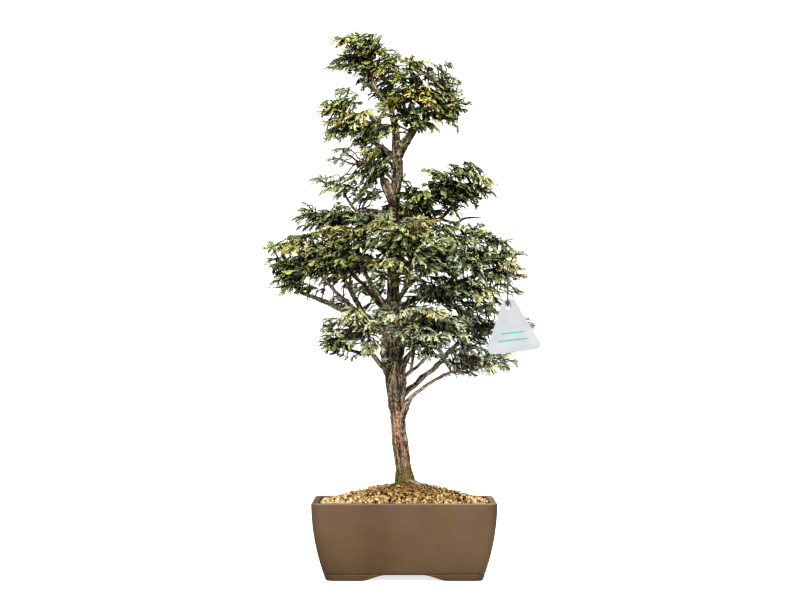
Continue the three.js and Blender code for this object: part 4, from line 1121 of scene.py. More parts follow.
# Clumps of fans in each tier: x, y, z of the middle, half width, half height, and how yellow.
CLUMPS = {
    "apex": [
        (-47, -2, 454, 8, 5, 0.5), (-33, -6, 449, 12, 9, 0.25), (-37, 2, 458.5, 8, 3, 0.15),
        (-24, 0, 458, 7, 3, 0.3),
        (-24, 0, 455, 7, 4, 0.35), (-20, -4, 445, 9, 8, 0.65), (-49, 2, 441, 8, 6, 0.4),
        (-37, -4, 436, 12, 7, 0.15), (-51, -6, 433, 7, 3, 0.3), (-15, -8, 432, 11, 8, 0.5),
        (-26, 6, 428, 8, 6, 0.1), (-6, 6, 442, 6, 5, 0.2), (-2, -2, 431, 8, 8, 0.25),
        (-9, 9, 420, 8, 7, 0.05), (-30, 14, 440, 14, 9, 0.2), (-10, 15, 436, 10, 8, 0.2),
        (-14, 3, 412, 7, 7, 0.05), (-6, 5, 407, 6, 6, 0.1), (-24, 3, 421, 6, 4, 0.1),
        (-16, 0, 422, 5, 5, 0.3),
    ],
    "crown_right": [
        (13, -2, 438, 9, 4, 0.55), (20, 0, 435, 7, 4, 0.5), (15, 6, 430, 7, 5, 0.15),
        (27, 2, 426, 8, 6, 0.3),
        (37, 4, 431, 8, 3, 0.35), (43, 0, 420, 10, 7, 0.35), (18, 8, 420, 8, 6, 0.05),
        (7, -9, 415, 8, 7, 0.3), (24, -8, 410, 13, 8, 0.5), (46, -2, 409, 9, 7, 0.2),
        (3, -12, 403, 7, 8, 0.65), (32, -12, 401, 12, 5, 0.6), (49, -4, 398, 8, 4, 0.3),
        (15, -8, 393, 12, 7, 0.1), (37, -6, 391, 12, 7, 0.45), (47, -10, 387, 5, 6, 0.35),
        (18, -4, 383, 9, 4, 0.3), (32, -4, 383, 5, 3, 0.3), (-10, -8, 399, 7, 5, 0.55),
        (26, 14, 408, 15, 10, 0.2), (44, 11, 400, 11, 8, 0.2), (9, 12, 418, 9, 8, 0.1),
        (42, 0, 429, 3, 2, 0.3), (50, 0, 421, 4, 2, 0.35), (52, -2, 411, 4, 3, 0.1),
        (-4, -6, 381, 4, 8, 0.5), (3, -6, 367, 4, 3, 0.6), (5, 0, 424, 6, 7, 0.2),
        (0, -6, 389, 4, 4, 0.4), (-6, -6, 374, 4, 5, 0.35),
        (6, -6, 407, 6, 6, 0.35), (8, -4, 396, 6, 5, 0.2),
    ],
    "top_left": [
        (-58, -4, 401, 8, 6, 0.5), (-47, 2, 410, 7, 4, 0.2), (-40, 0, 402, 6, 5, 0.35),
        (-48, -8, 401, 8, 5, 0.5), (-57, -2, 396, 7, 3, 0.2), (-47, -12, 391, 10, 6, 0.65),
        (-31, -14, 388, 11, 5, 0.6), (-15, -10, 387, 7, 4, 0.6), (-48, -6, 380, 11, 7, 0.15),
        (-29, -8, 380, 12, 7, 0.15), (-14, -2, 380, 8, 7, 0.2), (-54, -4, 376, 7, 3, 0.2),
        (-31, -4, 369, 8, 6, 0.3), (-20, 2, 372, 7, 5, 0.3), (-42, 10, 388, 14, 9, 0.2),
        (-26, 8, 380, 11, 8, 0.1),
    ],
    "mid_left": [
        (-26, -8, 361, 8, 7, 0.55), (-13, -8, 353, 6, 4, 0.35), (-33, -4, 351, 7, 4, 0.3),
        (-21, -8, 343, 11, 9, 0.05), (-39, -4, 340, 7, 5, 0.25), (-46, 0, 357, 5, 3, 0.1),
        (-52, 0, 361, 4, 2, 0.1), (-50, 0, 353, 4, 2, 0.1), (-22, 8, 346, 11, 9, 0.1),
        (-5, 0, 343, 5, 5, 0.1),
    ],
    "upper_right": [
        (29, -6, 343, 7, 3, 0.4), (56, 0, 346, 9, 4, 0.4), (67, 2, 348, 8, 2.5, 0.5),
        (45, -4, 338, 11, 6, 0.35), (69, -4, 339, 11, 4, 0.45), (33, -8, 332, 9, 6, 0.2),
        (56, -2, 331, 11, 6, 0.1), (72, -2, 328, 7, 3.5, 0.4), (44, -6, 323, 11, 7, 0.1),
        (61, -2, 321, 8, 5, 0.1), (24, -10, 321, 10, 7, 0.1), (11, -8, 325, 8, 8, 0.2),
        (10, -10, 313, 8, 7, 0.15), (29, -6, 311, 10, 5, 0.05), (50, -4, 314, 8, 4, 0.1),
        (5, -8, 335, 5, 6, 0.2), (20, -8, 325, 7, 5, 0.1), (80, 0, 337, 5, 2.5, 0.4),
        (78, 0, 324, 4, 2, 0.4), (48, 15, 331, 17, 9, 0.1), (26, 13, 322, 13, 8, 0.1),
    ],
    "upper_left": [
        (-61, -10, 339, 6, 2, 0.25), (-54, -8, 331, 6, 3, 0.35), (-49, -8, 324, 6, 3, 0.2),
        (-24, -4, 325, 8, 5, 0.4), (-40, -8, 329, 3, 4, 0.1), (-29, -4, 320, 5, 3, 0.3),
        (-68, -10, 336, 3, 1.5, 0.2), (-57, -8, 334, 6, 3, 0.25), (-47, -8, 327, 5, 3, 0.2),
        (-30, -5, 326, 5, 3, 0.3), (-40, -6, 337, 5, 2.5, 0.2), (-33, -6, 332, 4, 3, 0.2),
        (-13, -2, 326, 5, 5, 0.2),
    ],
    "left_third": [
        (-74, 3, 315, 4, 3, 0.1), (-71, 2, 307, 9, 5, 0.2), (-56, -2, 308, 10, 5, 0.3),
        (-72, 6, 300, 6, 4, 0.15), (-59, -4, 300, 9, 5, 0.3), (-39, -2, 308, 8, 5, 0.2),
        (-26, -4, 305, 10, 5, 0.25), (-50, -2, 312, 9, 2.5, 0.3), (-10, -6, 308, 6, 5, 0.2),
        (-80, 0, 302, 2.5, 1.5, 0.1),
        (-52, 16, 302, 14, 7, 0.1), (-24, 13, 303, 12, 7, 0.1),
    ],
    "left": [
        (-103, -2, 280, 8, 5, 0.5), (-87, -4, 287, 8, 3.5, 0.5), (-84, -12, 279, 11, 5, 0.8),
        (-70, -4, 288, 8, 5, 0.35), (-56, -16, 288, 10, 7, 0.7), (-43, -20, 293, 9, 5, 0.75),
        (-26, -24, 295, 10, 6, 0.35), (-66, -14, 278, 11, 6, 0.25), (-46, -18, 280, 11, 7, 0.1),
        (-27, -28, 282, 10, 8, 0.2), (-104, 0, 270, 8, 2.5, 0.15), (-96, -4, 264, 7, 5, 0.45),
        (-85, -8, 267, 10, 7, 0.3), (-66, -16, 266, 11, 7, 0.15), (-48, -22, 267, 10, 7, 0.2),
        (-93, -6, 254, 9, 4, 0.35), (-82, -14, 258, 9, 5, 0.2), (-66, -10, 256, 8, 4, 0.1),
        (-101, 0, 250, 5, 2, 0.1), (-93, -2, 245, 6, 2.5, 0.3), (-84, -4, 246, 7, 3, 0.3),
        (-76, -2, 243, 8, 4, 0), (-51, -8, 255, 9, 5, 0.05), (-30, -26, 270, 9, 6, 0.2),
        (-78, 18, 268, 18, 10, 0.15), (-52, 16, 276, 16, 11, 0.1), (-96, 13, 262, 10, 8, 0.2),
        (-32, 14, 241, 6, 4, 0.1), (-22, 12, 247, 5, 4, 0.1), (-44, 12, 247, 5, 3, 0.1),
        (-14, 12, 246, 5, 5, 0), (-24, 14, 230, 6, 4, 0.1), (-60, 6, 250, 6, 3, 0.1),
        (-52, 10, 238, 5, 2.5, 0.3), (-12, 12, 236, 4, 5, 0.1), (-43, 9, 232, 4, 2, 0.2),
        (-30, 9, 246, 6, 5, 0.1),
        (-22, 9, 238, 5, 5, 0.1), (-12, 9, 243, 5, 6, 0.1),
    ],
    "front": [
        (-15, -30, 298, 8, 5, 0.8), (-15, -36, 286, 9, 7, 0.2), (0, -40, 291, 10, 8, 0.4),
        (20, -30, 298, 11, 5, 0.8), (18, -40, 288, 10, 7, 0.5), (3, -42, 276, 11, 8, 0.15),
        (-15, -40, 266, 9, 5, 0.65), (2, -50, 264, 10, 7, 0.5), (22, -44, 275, 11, 8, 0.2),
        (24, -40, 262, 12, 7, 0.05), (-15, -36, 255, 8, 5, 0.1), (7, -34, 251, 8, 4, 0.1),
        (38, -34, 281, 8, 7, 0.2), (40, -14, 296, 8, 5, 0.3), (0, -20, 282, 16, 10, 0.1),
        (20, -20, 290, 12, 8, 0.1),
    ],
    "right": [
        (50, -14, 296, 9, 4, 0.25), (68, -8, 294, 9, 6, 0.5), (78, -4, 289.5, 7, 3.5, 0.5),
        (84, -2, 285, 7, 5, 0.1), (93, 0, 283, 5, 6, 0.2), (61, -16, 284, 10, 6, 0.35),
        (44, -22, 285, 9, 7, 0.15), (75, -14, 275, 11, 7, 0.15), (93, -6, 274, 8, 7, 0.55),
        (104, 0, 275, 4, 2, 0), (56, -24, 271, 10, 7, 0.1), (92, -14, 265, 11, 5, 0.85),
        (71, -18, 263, 10, 7, 0.15), (50, -26, 259, 9, 4, 0.05), (88, -12, 256, 11, 5, 0.4),
        (103, -6, 255, 5, 3, 0.4), (106, -4, 252, 3, 2, 0.1), (70, -14, 253, 6, 3, 0.05),
        (52, -18, 245, 9, 7, 0.1), (78, -14, 245, 12, 4, 0.5), (99, -8, 240, 5, 4, 0.3),
        (104, -6, 243, 5, 2, 0.1), (36, -16, 244, 10, 7, 0.05), (20, -18, 242, 8, 4, 0.1),
        (44, 2, 236, 12, 6, 0), (74, 18, 270, 16, 11, 0.15), (52, 16, 276, 14, 10, 0.1),
        (92, 12, 268, 11, 9, 0.2),
        (63, -6, 247, 7, 6, 0.25), (68, -4, 238, 7, 5, 0.2), (64, 2, 232, 7, 4, 0.15),
        (50, 0, 229, 8, 4, 0.1), (88, -10, 232, 5, 5, 0.3), (90, -12, 247, 6, 4, 0.4),
        (79, -12, 238, 7, 3, 0.4), (28, -6, 234, 7, 4, 0.1), (12, -10, 236, 6, 4, 0.1),
        (14, -10, 228, 7, 4, 0.15), (22, 0, 250, 7, 4, 0.15), (36, 2, 252, 7, 4, 0.1),
    ],
    "low_left": [
        (-35, -34, 221, 12, 6, 0.4), (-52, -24, 217, 9, 5, 0.3), (-61, -20, 210, 6, 2.5, 0.3),
        (-51, -32, 208, 8, 4, 0.6), (-21, -40, 213, 10, 7, 0.4), (-60, -24, 202, 7, 2.5, 0.3),
        (-48, -26, 199, 10, 5, 0.15), (-54, -26, 194, 9, 3, 0.3),
        (-20, -40, 196, 7, 5, 0.3), (-46, -20, 188, 3, 2, 0), (-32, -18, 188, 3, 2, 0),
        (-14, -36, 224, 7, 4, 0.35), (-40, -4, 208, 13, 7, 0.1), (-58, -24, 196, 4, 2, 0.3),
        (-33, -34, 198, 5, 5, 0.3),
    ],
    "low_front_right": [
        (2, -40, 220, 7, 5, 0.65), (20, -44, 224, 10, 6, 0.4), (31, -46, 224, 8, 6, 0.75),
        (43, -34, 213, 10, 7, 0.15), (18, -48, 210, 11, 8, 0.2), (34, -46, 203, 11, 7, 0.3),
        (50, -34, 205, 8, 5, 0.55), (16, -44, 196, 8, 7, 0.25), (30, -40, 192, 8, 4, 0.2),
        (2, -44, 208, 6, 6, 0.4), (6, -38, 198, 4, 5, 0.3), (30, -14, 212, 13, 8, 0.1),
        (-7, -16, 197, 4, 6, 0.5), (-4, -15, 184, 3, 5, 0.45), (40, -22, 222, 9, 5, 0.2),
        (4, -16, 228, 6, 4, 0.4), (52, -16, 216, 6, 4, 0.1),
    ],
    "low_right": [
        (77, 20, 230, 10, 4, 0.15), (63, 22, 224, 10, 6, 0), (81, 18, 222, 7, 6, 0.1),
        (57, 14, 213, 9, 6, 0.05), (73, 22, 213, 11, 7, 0.05), (69, 22, 201, 12, 6, 0),
        (113, 20, 217, 6, 3, 0.1), (62, 9, 195, 8, 4, 0.05), (93, 20, 213, 9, 7, 0.1),
        (70, 36, 214, 14, 9, 0.15),
    ],
    "lowest_right": [
        (58, -8, 187, 10, 6, 0.05), (79, -10, 188, 9, 4, 0.15), (94, -10, 186, 6, 4, 0.3),
        (85, -14, 182, 9, 3.5, 0.5), (62, -12, 180, 8, 4, 0.1), (47, -10, 180, 7, 4, 0.05),
        (56, -10, 173, 7, 2.5, 0.2), (66, 5, 184, 14, 5, 0.1), (71, -10, 182, 8, 4, 0.15),
        (84, -12, 188, 7, 3, 0.3), (52, -9, 186, 6, 4, 0.1), (98, -10, 183, 5, 2.5, 0.4),
    ],
    "back_low": [
        (-18, 44, 214, 14, 9, 0.3), (6, 53, 218, 15, 10, 0.3), (27, 44, 214, 13, 9, 0.3),
        (4, 34, 212, 14, 8, 0.1),
    ],
    "back_left": [
        (-60, 40, 267, 14, 8, 0.3), (-44, 55, 269, 14, 8, 0.3), (-30, 44, 266, 13, 9, 0.3),
        (-48, 34, 265, 13, 8, 0.1),
    ],
    "back_right": [
        (55, 42, 270, 14, 9, 0.3), (37, 55, 273, 14, 9, 0.3), (25, 40, 268, 12, 9, 0.3),
        (44, 32, 266, 12, 9, 0.1),
    ],
    "back_upper": [
        (-24, 38, 308, 14, 7, 0.3), (-5, 49, 314, 14, 9, 0.3), (14, 38, 312, 12, 8, 0.3),
        (-6, 28, 308, 12, 7, 0.1),
    ],
    "back_top": [
        (-22, 32, 362, 10, 7, 0.3), (-8, 32, 362, 9, 8, 0.3), (-15, 22, 360, 9, 7, 0.1),
    ],
}
LIMB_BARK = (14, 1.4, 0.6, 6)  # sides, step, depth and strips of a limb's bark
APEX_FROM = 17  # the first point of the trunk's route that carries the apex
FROND_LENGTH = 26
FROND_STEPS = (0.06, 0.25, 0.42, 0.58, 0.66)  # where its fans leave its axis
FRONDS_PER_AREA = 0.054
LAYER_GAP = 4.6  # mm between the layers of foliage
STEEPEST = -0.9, 0.5  # of a frond or fan, down and up, as its rise over its run
FAN_KINDS = 16
TIER_SEED = 21
# How much painted light a tier gets over most, painted shade where it is below 0, and how much
# more of its leaves' pale side shows.
TIER_PAINTED_LIGHT = {"top_left": 0.12, "left_third": 0.09, "left": 0.03, "front": -0.09, "upper_right": -0.12,
         "mid_left": 0.02, "upper_left": 0.02, "low_left": 0.02, "low_front_right": 0.03,
         "low_right": 0.16, "lowest_right": 0.12}
BLOOM = {"apex": 0.15, "crown_right": 0.1, "right": 0.7, "mid_left": 0.35, "upper_left": 0.5,
         "left_third": 0.45, "upper_right": 0.3, "front": 0.5, "left": 0.3, "top_left": 0.3,
         "low_left": 0.2, "low_front_right": 0.3, "low_right": 0.2, "lowest_right": 0.25}
UNDER_BANDS = (0.45, 0.78, 1.03)  # limits between leaves laid flat apart, by their pale side
TWIG_TIP, TWIG_THICKEST = 0.36, 1.1  # radii
BARE_TWIGS = 15  # in each of the larger clumps
TWIG_SIDES = 4


def stem_path(start, heading, length, bend, stops):
    """Places and headings along a branchlet that leaves start and turns by bend on its way."""
    t = np.asarray(stops)
    middle = heading + bend * t / 2
    spots = start + np.stack([np.cos(middle), np.sin(middle)], -1) * (length * t)[:, None]
    return spots, heading + bend * t


def branchlet(start, heading, length, bend, width, stops, share, keel=True):
    """One flat tapering branchlet of a fan with a blunt tip: each ring has two edges and, on the
    larger ones, a keel. share is how far towards the fan's tips it starts and ends."""
    spots, turned = stem_path(start, heading, length, bend, [*stops, 1])
    side = np.stack([-np.sin(turned), np.cos(turned)], -1)
    half = np.interp(stops, (0, 0.6, 0.9), (0.8, 1, 0.75)) * width / 2
    points = []
    for spot, across, reach in zip(spots, side, half):
        for edge in (spot + across * reach, spot - across * reach):
            points.append((*edge, -0.1 * width))
        if keel:
            points.append((*spot, 0.34 * width))
    points.append((*spots[-1], 0))
    ring = 3 if keel else 2
    walls = ((0, 1, 1), (1, 2, 0), (2, 0, 0)) if keel else ((0, 1, 0),)
    faces, under = [], []
    for i in range(0, ring * len(stops), ring):
        for first, second, below in walls:
            if i < ring * (len(stops) - 1):
                faces += [(i + first, i + second, i + second + ring),
                          (i + first, i + second + ring, i + first + ring)]
                under += [below, below]
            else:
                faces.append((i + first, i + second, i + ring))
                under.append(below)
    shares = np.interp([*np.repeat(stops, ring), 1], (0, 1), share)
    return np.array(points), np.array(faces), shares, np.array(under)


def toned(rng, part):
    """A branchlet with a lightness of its own. Some show their pale side."""
    points, faces, shares, under = part
    if rng.random() < 0.25:
        under = np.maximum(under, rng.uniform(0.5, 1.3))
    return points, faces, shares, under, np.full(len(points), rng.normal(0, 1))


def grown_fan(rng):
    """One fan of unit length in the xy plane, its axis along x: points, faces, share, under and
    tone."""
    bend = rng.uniform(-0.6, 0.6)
    axis = branchlet(np.zeros(2), -bend / 2, 1, bend, 0.082, (0, 0.45, 0.88), (0, 1))
    parts = [toned(rng, axis)]
    count = rng.integers(6, 8)
    for i in range(count):
        t = 0.12 + 0.8 * (i + rng.uniform(-0.25, 0.25)) / count
        (start,), (heading,) = stem_path(np.zeros(2), -bend / 2, 1, bend, [t])
        side = 1 if i % 2 else -1
        length = (0.34 * (1 - t) ** 0.7 + 0.17) * rng.uniform(0.75, 1.25)
        angle = heading + side * rng.uniform(0.55, 0.8) * (1 - 0.2 * t)
        curl = -side * rng.uniform(0, 0.7)
        width = rng.uniform(0.076, 0.094)
        share = 0.75 * t, min(1, t + 0.8 * length + 0.15)
        main = branchlet(start, angle, length, curl, width, (0, 0.45, 0.86), share)
        parts.append(toned(rng, main))
        for u in rng.permutation((0.42, 0.66))[: 1 if length < 0.3 else 2]:
            (fork,), (way,) = stem_path(start, angle, length, curl, [u])
            turn = rng.choice((-1, 1)) * rng.uniform(0.6, 1)
            reach = rng.uniform(0.13, 0.19)
            share = t + 0.5 * length, min(1, t + length + 0.1)
            fork_shape = branchlet(fork, way + turn, reach, 0, width, (0, 0.75), share, False)
            parts.append(toned(rng, fork_shape))
    first, faces = 0, []
    for part in parts:
        faces.append(part[1] + first)
        first += len(part[0])
    columns = [np.concatenate([part[k] for part in parts]) for k in (0, 2, 3, 4)]
    return columns[0], np.vstack(faces), *columns[1:]


def levelled(ways):
    """Directions of fronds or fans, none of them steeper than they grow."""
    run = np.hypot(ways[..., 0], ways[..., 1])
    rise = np.clip(ways[..., 2], STEEPEST[0] * run, STEEPEST[1] * run)
    return unit(np.stack([ways[..., 0], ways[..., 1], rise], -1))


def frond_fans(rng, foot, ahead, upper, length, ripe, slim):
    """The fans of one frond: they leave its axis by turns on both sides, and one ends it."""
    aside = np.cross(upper, ahead)
    droop, curve = rng.uniform(0, 0.25), rng.normal(0, 0.12)
    bright = rng.normal(0.6, 0.11)
    fans = []
    for i, share in enumerate(FROND_STEPS):
        share += rng.uniform(-0.03, 0.03)
        place = foot + (ahead * share + aside * curve * share**2 - upper * droop * share**2) * length
        turn = 2 * curve * share
        if i < len(FROND_STEPS) - 1:
            turn += (-1) ** i * rng.uniform(0.6, 0.95) * (1 - 0.3 * share)
        level = unit(ahead - 2 * droop * share * upper)
        above = unit(upper + 2 * droop * share * ahead)
        heading = level * math.cos(turn) + aside * math.sin(turn) + rng.normal(0, 0.08, 3)
        heading = levelled(heading)
        above = above + rng.normal(0, 0.16, 3)
        above = unit(above - heading * (above @ heading))
        reach = length * rng.uniform(0.46, 0.66) * (1 - 0.15 * share)
        values = reach, ripe + rng.normal(0, 0.06), slim, bright + rng.normal(0, 0.08)
        fans.append([*place, *heading, *above, *values])
    return fans


def clump_fans(rng, clump, roots, light):
    """The fans of one clump, grouped in fronds that lie in flat layers and slope down and out from
    the trunk: foot, heading, upper side, length, ripeness, how slim and how light each is."""
    x, y, z, rx, rz, ripe = clump
    centre, radii = np.array([x, y, z], float), np.array([rx, 0.9 * rx, rz], float)
    share = FRONDS_PER_AREA * (1 if y < 10 else 0.55 if y < 25 else 0.8)
    count = max(1, round(share * (rx * rx * rz) ** (2 / 3)))
    tries = unit(rng.normal(size=(count * 6, 3))) * rng.random((count * 6, 1)) ** (1 / 3)
    chosen = [0]
    nearest = np.linalg.norm(tries - tries[0], axis=1)
    for _ in range(count - 1):
        chosen.append(int(np.argmax(nearest * rng.uniform(0.5, 1, len(tries)))))
        nearest = np.minimum(nearest, np.linalg.norm(tries - tries[chosen[-1]], axis=1))
    inside = tries[chosen]
    root = roots[np.argmin(np.linalg.norm(roots - centre, axis=1))]
    outward = unit((centre - root) * (1, 1, 0.04) + 4 * unit(centre * (1, 1, 0)))
    away = unit(centre * (1, 1, 0) + inside * rx * (1, 1, 0))
    ahead = unit(0.55 * outward + 0.6 * away) + 0.5 * inside * (1, 1, 0.4)
    ahead += rng.normal(0, 0.2, inside.shape)
    ahead[:, 2] += 0.06 - 0.1 * np.hypot(inside[:, 0], inside[:, 1])
    ahead = levelled(ahead)
    upper = 0.45 * away + (0, -0.35, 0.9) + rng.normal(0, 0.24, inside.shape)
    upper = unit(upper - ahead * np.sum(upper * ahead, 1, keepdims=True))
    outer = np.sum(ahead * inside, 1).clip(0)
    length = FROND_LENGTH * rng.uniform(0.7, 1.15, count) * (1 + 0.15 * outer)
    length *= min(1, 0.5 + rx / 20)
    slim = rng.uniform(0.85, 1.15, count) * (1 - 0.25 * outer)
    middle = centre + inside * np.maximum(radii - 3, 0.8)
    slope = 0.12 * np.hypot(middle[:, 0], middle[:, 1])
    level = np.round((middle[:, 2] + slope) / LAYER_GAP) * LAYER_GAP - slope
    middle[:, 2] += 1 + 0.7 * (level - middle[:, 2])
    foot = middle - ahead * (length * (0.52 + 0.45 * outer))[:, None]
    ripe = ripe + 0.12 * inside[:, 2] + rng.normal(0, 0.1, count)
    fronds = zip(foot, ahead, upper, length, ripe, slim)
    fans = np.array([fan for frond in fronds for fan in frond_fans(rng, *frond)])
    # Each tier's painted light is added to the lightness of all its fans; below 0 it is painted shade.
    fans[:, 12] += light
    return fans


def sheltered(fans):
    """How far each fan sits under and among the others, from 0 to 1: how much painted shade darkens
    it.
    """
    middle = fans[:, :3] + fans[:, 3:6] * fans[:, 9:10] / 2
    apart = middle[None] - middle[:, None]
    near = np.exp(-np.sum(apart**2, 2) / 90)
    crowd = np.sum(near * (0.5 + 0.5 * np.tanh(apart[..., 2] / 4)), 1)
    return np.clip(crowd / np.percentile(crowd, 88), 0, 1)


def fan_meshes(rng, fans, kinds):
    """All fans of a tier as one mesh, each bent over its length, cupped and twisted."""
    kind = rng.integers(0, len(kinds), len(fans))
    painted_shade = sheltered(fans)
    points, faces, ripes, tones, unders, first = [], [], [], [], [], 0
    for which, (local, pattern, share, under, finger) in enumerate(kinds):
        chosen = fans[kind == which]
        depth = painted_shade[kind == which][:, None]
        count = len(chosen)
        foot, ahead, upper = chosen[:, None, :3], chosen[:, None, 3:6], chosen[:, None, 6:9]
        aside = np.cross(upper, ahead)
        droop = rng.uniform(0.05, 0.45, (count, 1))
        cup = rng.uniform(-0.1, 0.8, (count, 1))
        twist = rng.normal(0, 0.35, (count, 1))
        flip = rng.choice([-1, 1], (count, 1))
        wave = rng.normal(0, 0.05, (count, 1)) * np.sin(local[:, 0] * 9 + local[:, 1] * 7)
        x, y = local[:, 0], local[:, 1] * flip * chosen[:, 11:12]
        z = local[:, 2] - droop * x**2 - cup * y**2 + twist * x * y + wave
        x = x - 0.35 * droop * x**3
        scale = chosen[:, 9][:, None, None]
        placed = foot + (ahead * x[..., None] + aside * y[..., None] + upper * z[..., None]) * scale
        turned = np.where(flip[:, :, None] > 0, pattern, pattern[:, ::-1])
        points.append(placed.reshape(-1, 3))
        faces.append((turned + first + len(local) * np.arange(count)[:, None, None]).reshape(-1, 3))
        first += count * len(local)
        ripe = chosen[:, 10][:, None]
        # Fans under and among others are painted darker and greener, painted shade; each fan is also
        # darker towards its base, partly its own older colour and partly painted shade.
        ripes.append((ripe * (0.2 + 0.8 * share) + 0.12 * share + 0.1 - 0.1 * depth).ravel())
        tone = chosen[:, 12][:, None] + 0.11 - 0.5 * depth**2 + 0.36 * finger
        tones.append((tone * (0.7 + 0.32 * share)).ravel())
        unders.append(np.tile(under, count))
    faces, under = np.vstack(faces), np.concatenate(unders)
    ripe, tone = np.clip(np.concatenate(ripes), 0, 1), np.clip(np.concatenate(tones), 0, 1)
    return (np.vstack(points), faces.tolist()), dict(
        ripe=ripe, tone=tone, under=under, flat=leaves_laid_out(faces, ripe, tone, under))


def leaves_laid_out(faces, ripe, tone, under):
    """Face corners of leaves laid flat by how light and how ripe they are, in a band for each part
    of the pale side that they show."""
    corner = faces.ravel()
    band = np.repeat(np.searchsorted(UNDER_BANDS, under), 3)
    up = band + 0.08 + 0.84 * ripe[corner] + 0.03 * (corner % 3 - 1)
    return np.stack([0.02 + 0.96 * tone[corner], up / (len(UNDER_BANDS) + 1)], -1)


def twig_tree(roots, feet):
    """Joins every foot to the wood by the cheapest way, counted from it and back to the roots.
    Returns all places and each one's parent, with the roots first."""
    places = np.vstack([roots, feet])
    parent = np.full(len(places), -1)
    travelled = np.zeros(len(places))
    gap = np.linalg.norm(feet[:, None] - roots, axis=2)
    best, cost = gap.argmin(1), gap.min(1)
    for _ in range(len(feet)):
        new = int(cost.argmin())
        at = new + len(roots)
        parent[at] = best[new]
        travelled[at] = travelled[best[new]] + np.linalg.norm(places[at] - places[best[new]])
        cost[new] = np.inf
        price = np.linalg.norm(feet - feet[new], axis=1) + 0.6 * travelled[at]
        nearer = (price < cost) & (cost < np.inf)
        best[nearer], cost[nearer] = at, price[nearer]
    return places, parent


def bare_tips(rng, roots, clumps):
    """Tips of the bare twiglets between a limb and the clumps it carries."""
    tips = []
    for x, y, z, rx, rz, _ in clumps:
        centre = np.array([x, y, z - 0.5 * rz])
        root = roots[np.argmin(np.linalg.norm(roots - centre, axis=1))]
        count = BARE_TWIGS if rx > 6 else 2
        share = rng.uniform(0.1, 1, (count, 1))
        spread = np.array([5, 5, 4]) * min(1, rx / 9)
        tips.append(root + (centre - root) * share + rng.normal(0, 1, (count, 3)) * spread)
    return np.vstack(tips)


def twig_stems(rng, roots, fans, clumps):
    """Thin wood from the limb to every fan, thicker where it carries more of them."""
    feet = np.vstack([fans[:, :3] + fans[:, 3:6] * 1.5, bare_tips(rng, roots, clumps)])
    places, parent = twig_tree(roots, feet)
    first = len(roots)
    depth = np.zeros(len(places), int)
    pending = range(first, len(places))
    while pending:
        for i in pending:
            if parent[i] < first or depth[parent[i]]:
                depth[i] = depth[parent[i]] + 1
        pending = [i for i in pending if not depth[i]]
    load = np.ones(len(places))
    heir = {}
    for i in sorted(range(first, len(places)), key=lambda i: -depth[i]):
        above = parent[i]
        if above >= first:
            load[above] += load[i]
            if above not in heir or load[i] > load[heir[above]]:
                heir[above] = i
    stems = []
    for i in range(first, len(places)):
        if heir.get(parent[i]) == i:
            continue
        chain = [parent[i], i]
        while chain[-1] in heir:
            chain.append(heir[chain[-1]])
        radii = np.minimum(TWIG_TIP * load[chain] ** 0.34, TWIG_THICKEST)
        radii[0] = radii[1]
        route = places[chain]
        if len(route) == 2:
            sag = (route[0] + route[1]) / 2 + rng.normal(0, 0.9, 3) + (0, 0, 0.8)
            route, radii = np.insert(route, 1, sag, 0), np.insert(radii, 1, radii[1])
        line = smooth_line(np.column_stack([route, radii]), 4)
        rings = rings_round(line, line[:, 3], TWIG_SIDES)
        relief = rng.uniform(0.05, 0.6, rings.shape[:2]).ravel()
        along = lengths_along(line)[:, None] + np.zeros(TWIG_SIDES)
        grain = np.stack([along * 0, along * 0, along + i], -1) * MM
        stems.append((rings, relief, grain.reshape(-1, 3)))
    return stems


def limb_roots(routes, skipped):
    """Places along a limb from which twigs may grow. The first route's start is bare."""
    lines = [smooth_line(route, 3) for route in routes]
    bare = [int(len(line) * (0.15 if i else skipped)) for i, line in enumerate(lines)]
    return np.vstack([line[start:, :3] for start, line in zip(bare, lines)])


def leaf_finish(name, spread, gain, deep, green, fresh, gold, ochre, below):
    """Scale leaves in five ages, each paler and bluer underneath. spread and gain set how far the
    dark and the light ones lie apart."""
    material, tree = finish_of(name, 0.42)
    place = object_place(tree)
    scales = patches(tree, place, 1300, 0.35, 0.65, 2)
    ripe = maths(tree, "MULTIPLY_ADD", patches(tree, place, 200, 0.3, 0.7, 2), 0.16,
                 attribute(tree, "ripe"))
    ripe = maths(tree, "SUBTRACT", ripe, 0.08)
    colour = ramp(tree, ripe, (0.0, deep), (0.3, green), (0.55, fresh), (0.8, gold), (1, ochre))
    under = maths(tree, "MULTIPLY", attribute(tree, "under"), 0.55)
    colour = mixed(tree, under, colour, below)
    colour = mixed(tree, maths(tree, "MULTIPLY", scales, 0.2), colour, below)
    # tone holds each leaf's random lightness together with the painted shade of sheltered fans and
    # each tier's painted light.
    bright = attribute(tree, "tone")
    tone = maths(tree, "MULTIPLY_ADD", maths(tree, "POWER", bright, spread), gain, 0.01)
    bluer = node(tree, "MapRange", {0: bright, 1: 0.15, 2: 0.85, 3: 0.4, 4: 1.35}).outputs[0]
    shade = node(tree, "CombineXYZ", {0: tone, 1: tone, 2: maths(tree, "MULTIPLY", tone, bluer)})
    colour = mixed(tree, 1.0, colour, shade.outputs[0], "MULTIPLY")
    waxy = node(tree, "MapRange", {0: bright, 1: 0.15, 2: 0.8, 3: 0.1, 4: 1}).outputs[0]
    coat_with(tree, Base_Color=colour, Specular_IOR_Level=waxy, Height=scales, Distance=0.0003)
    return material


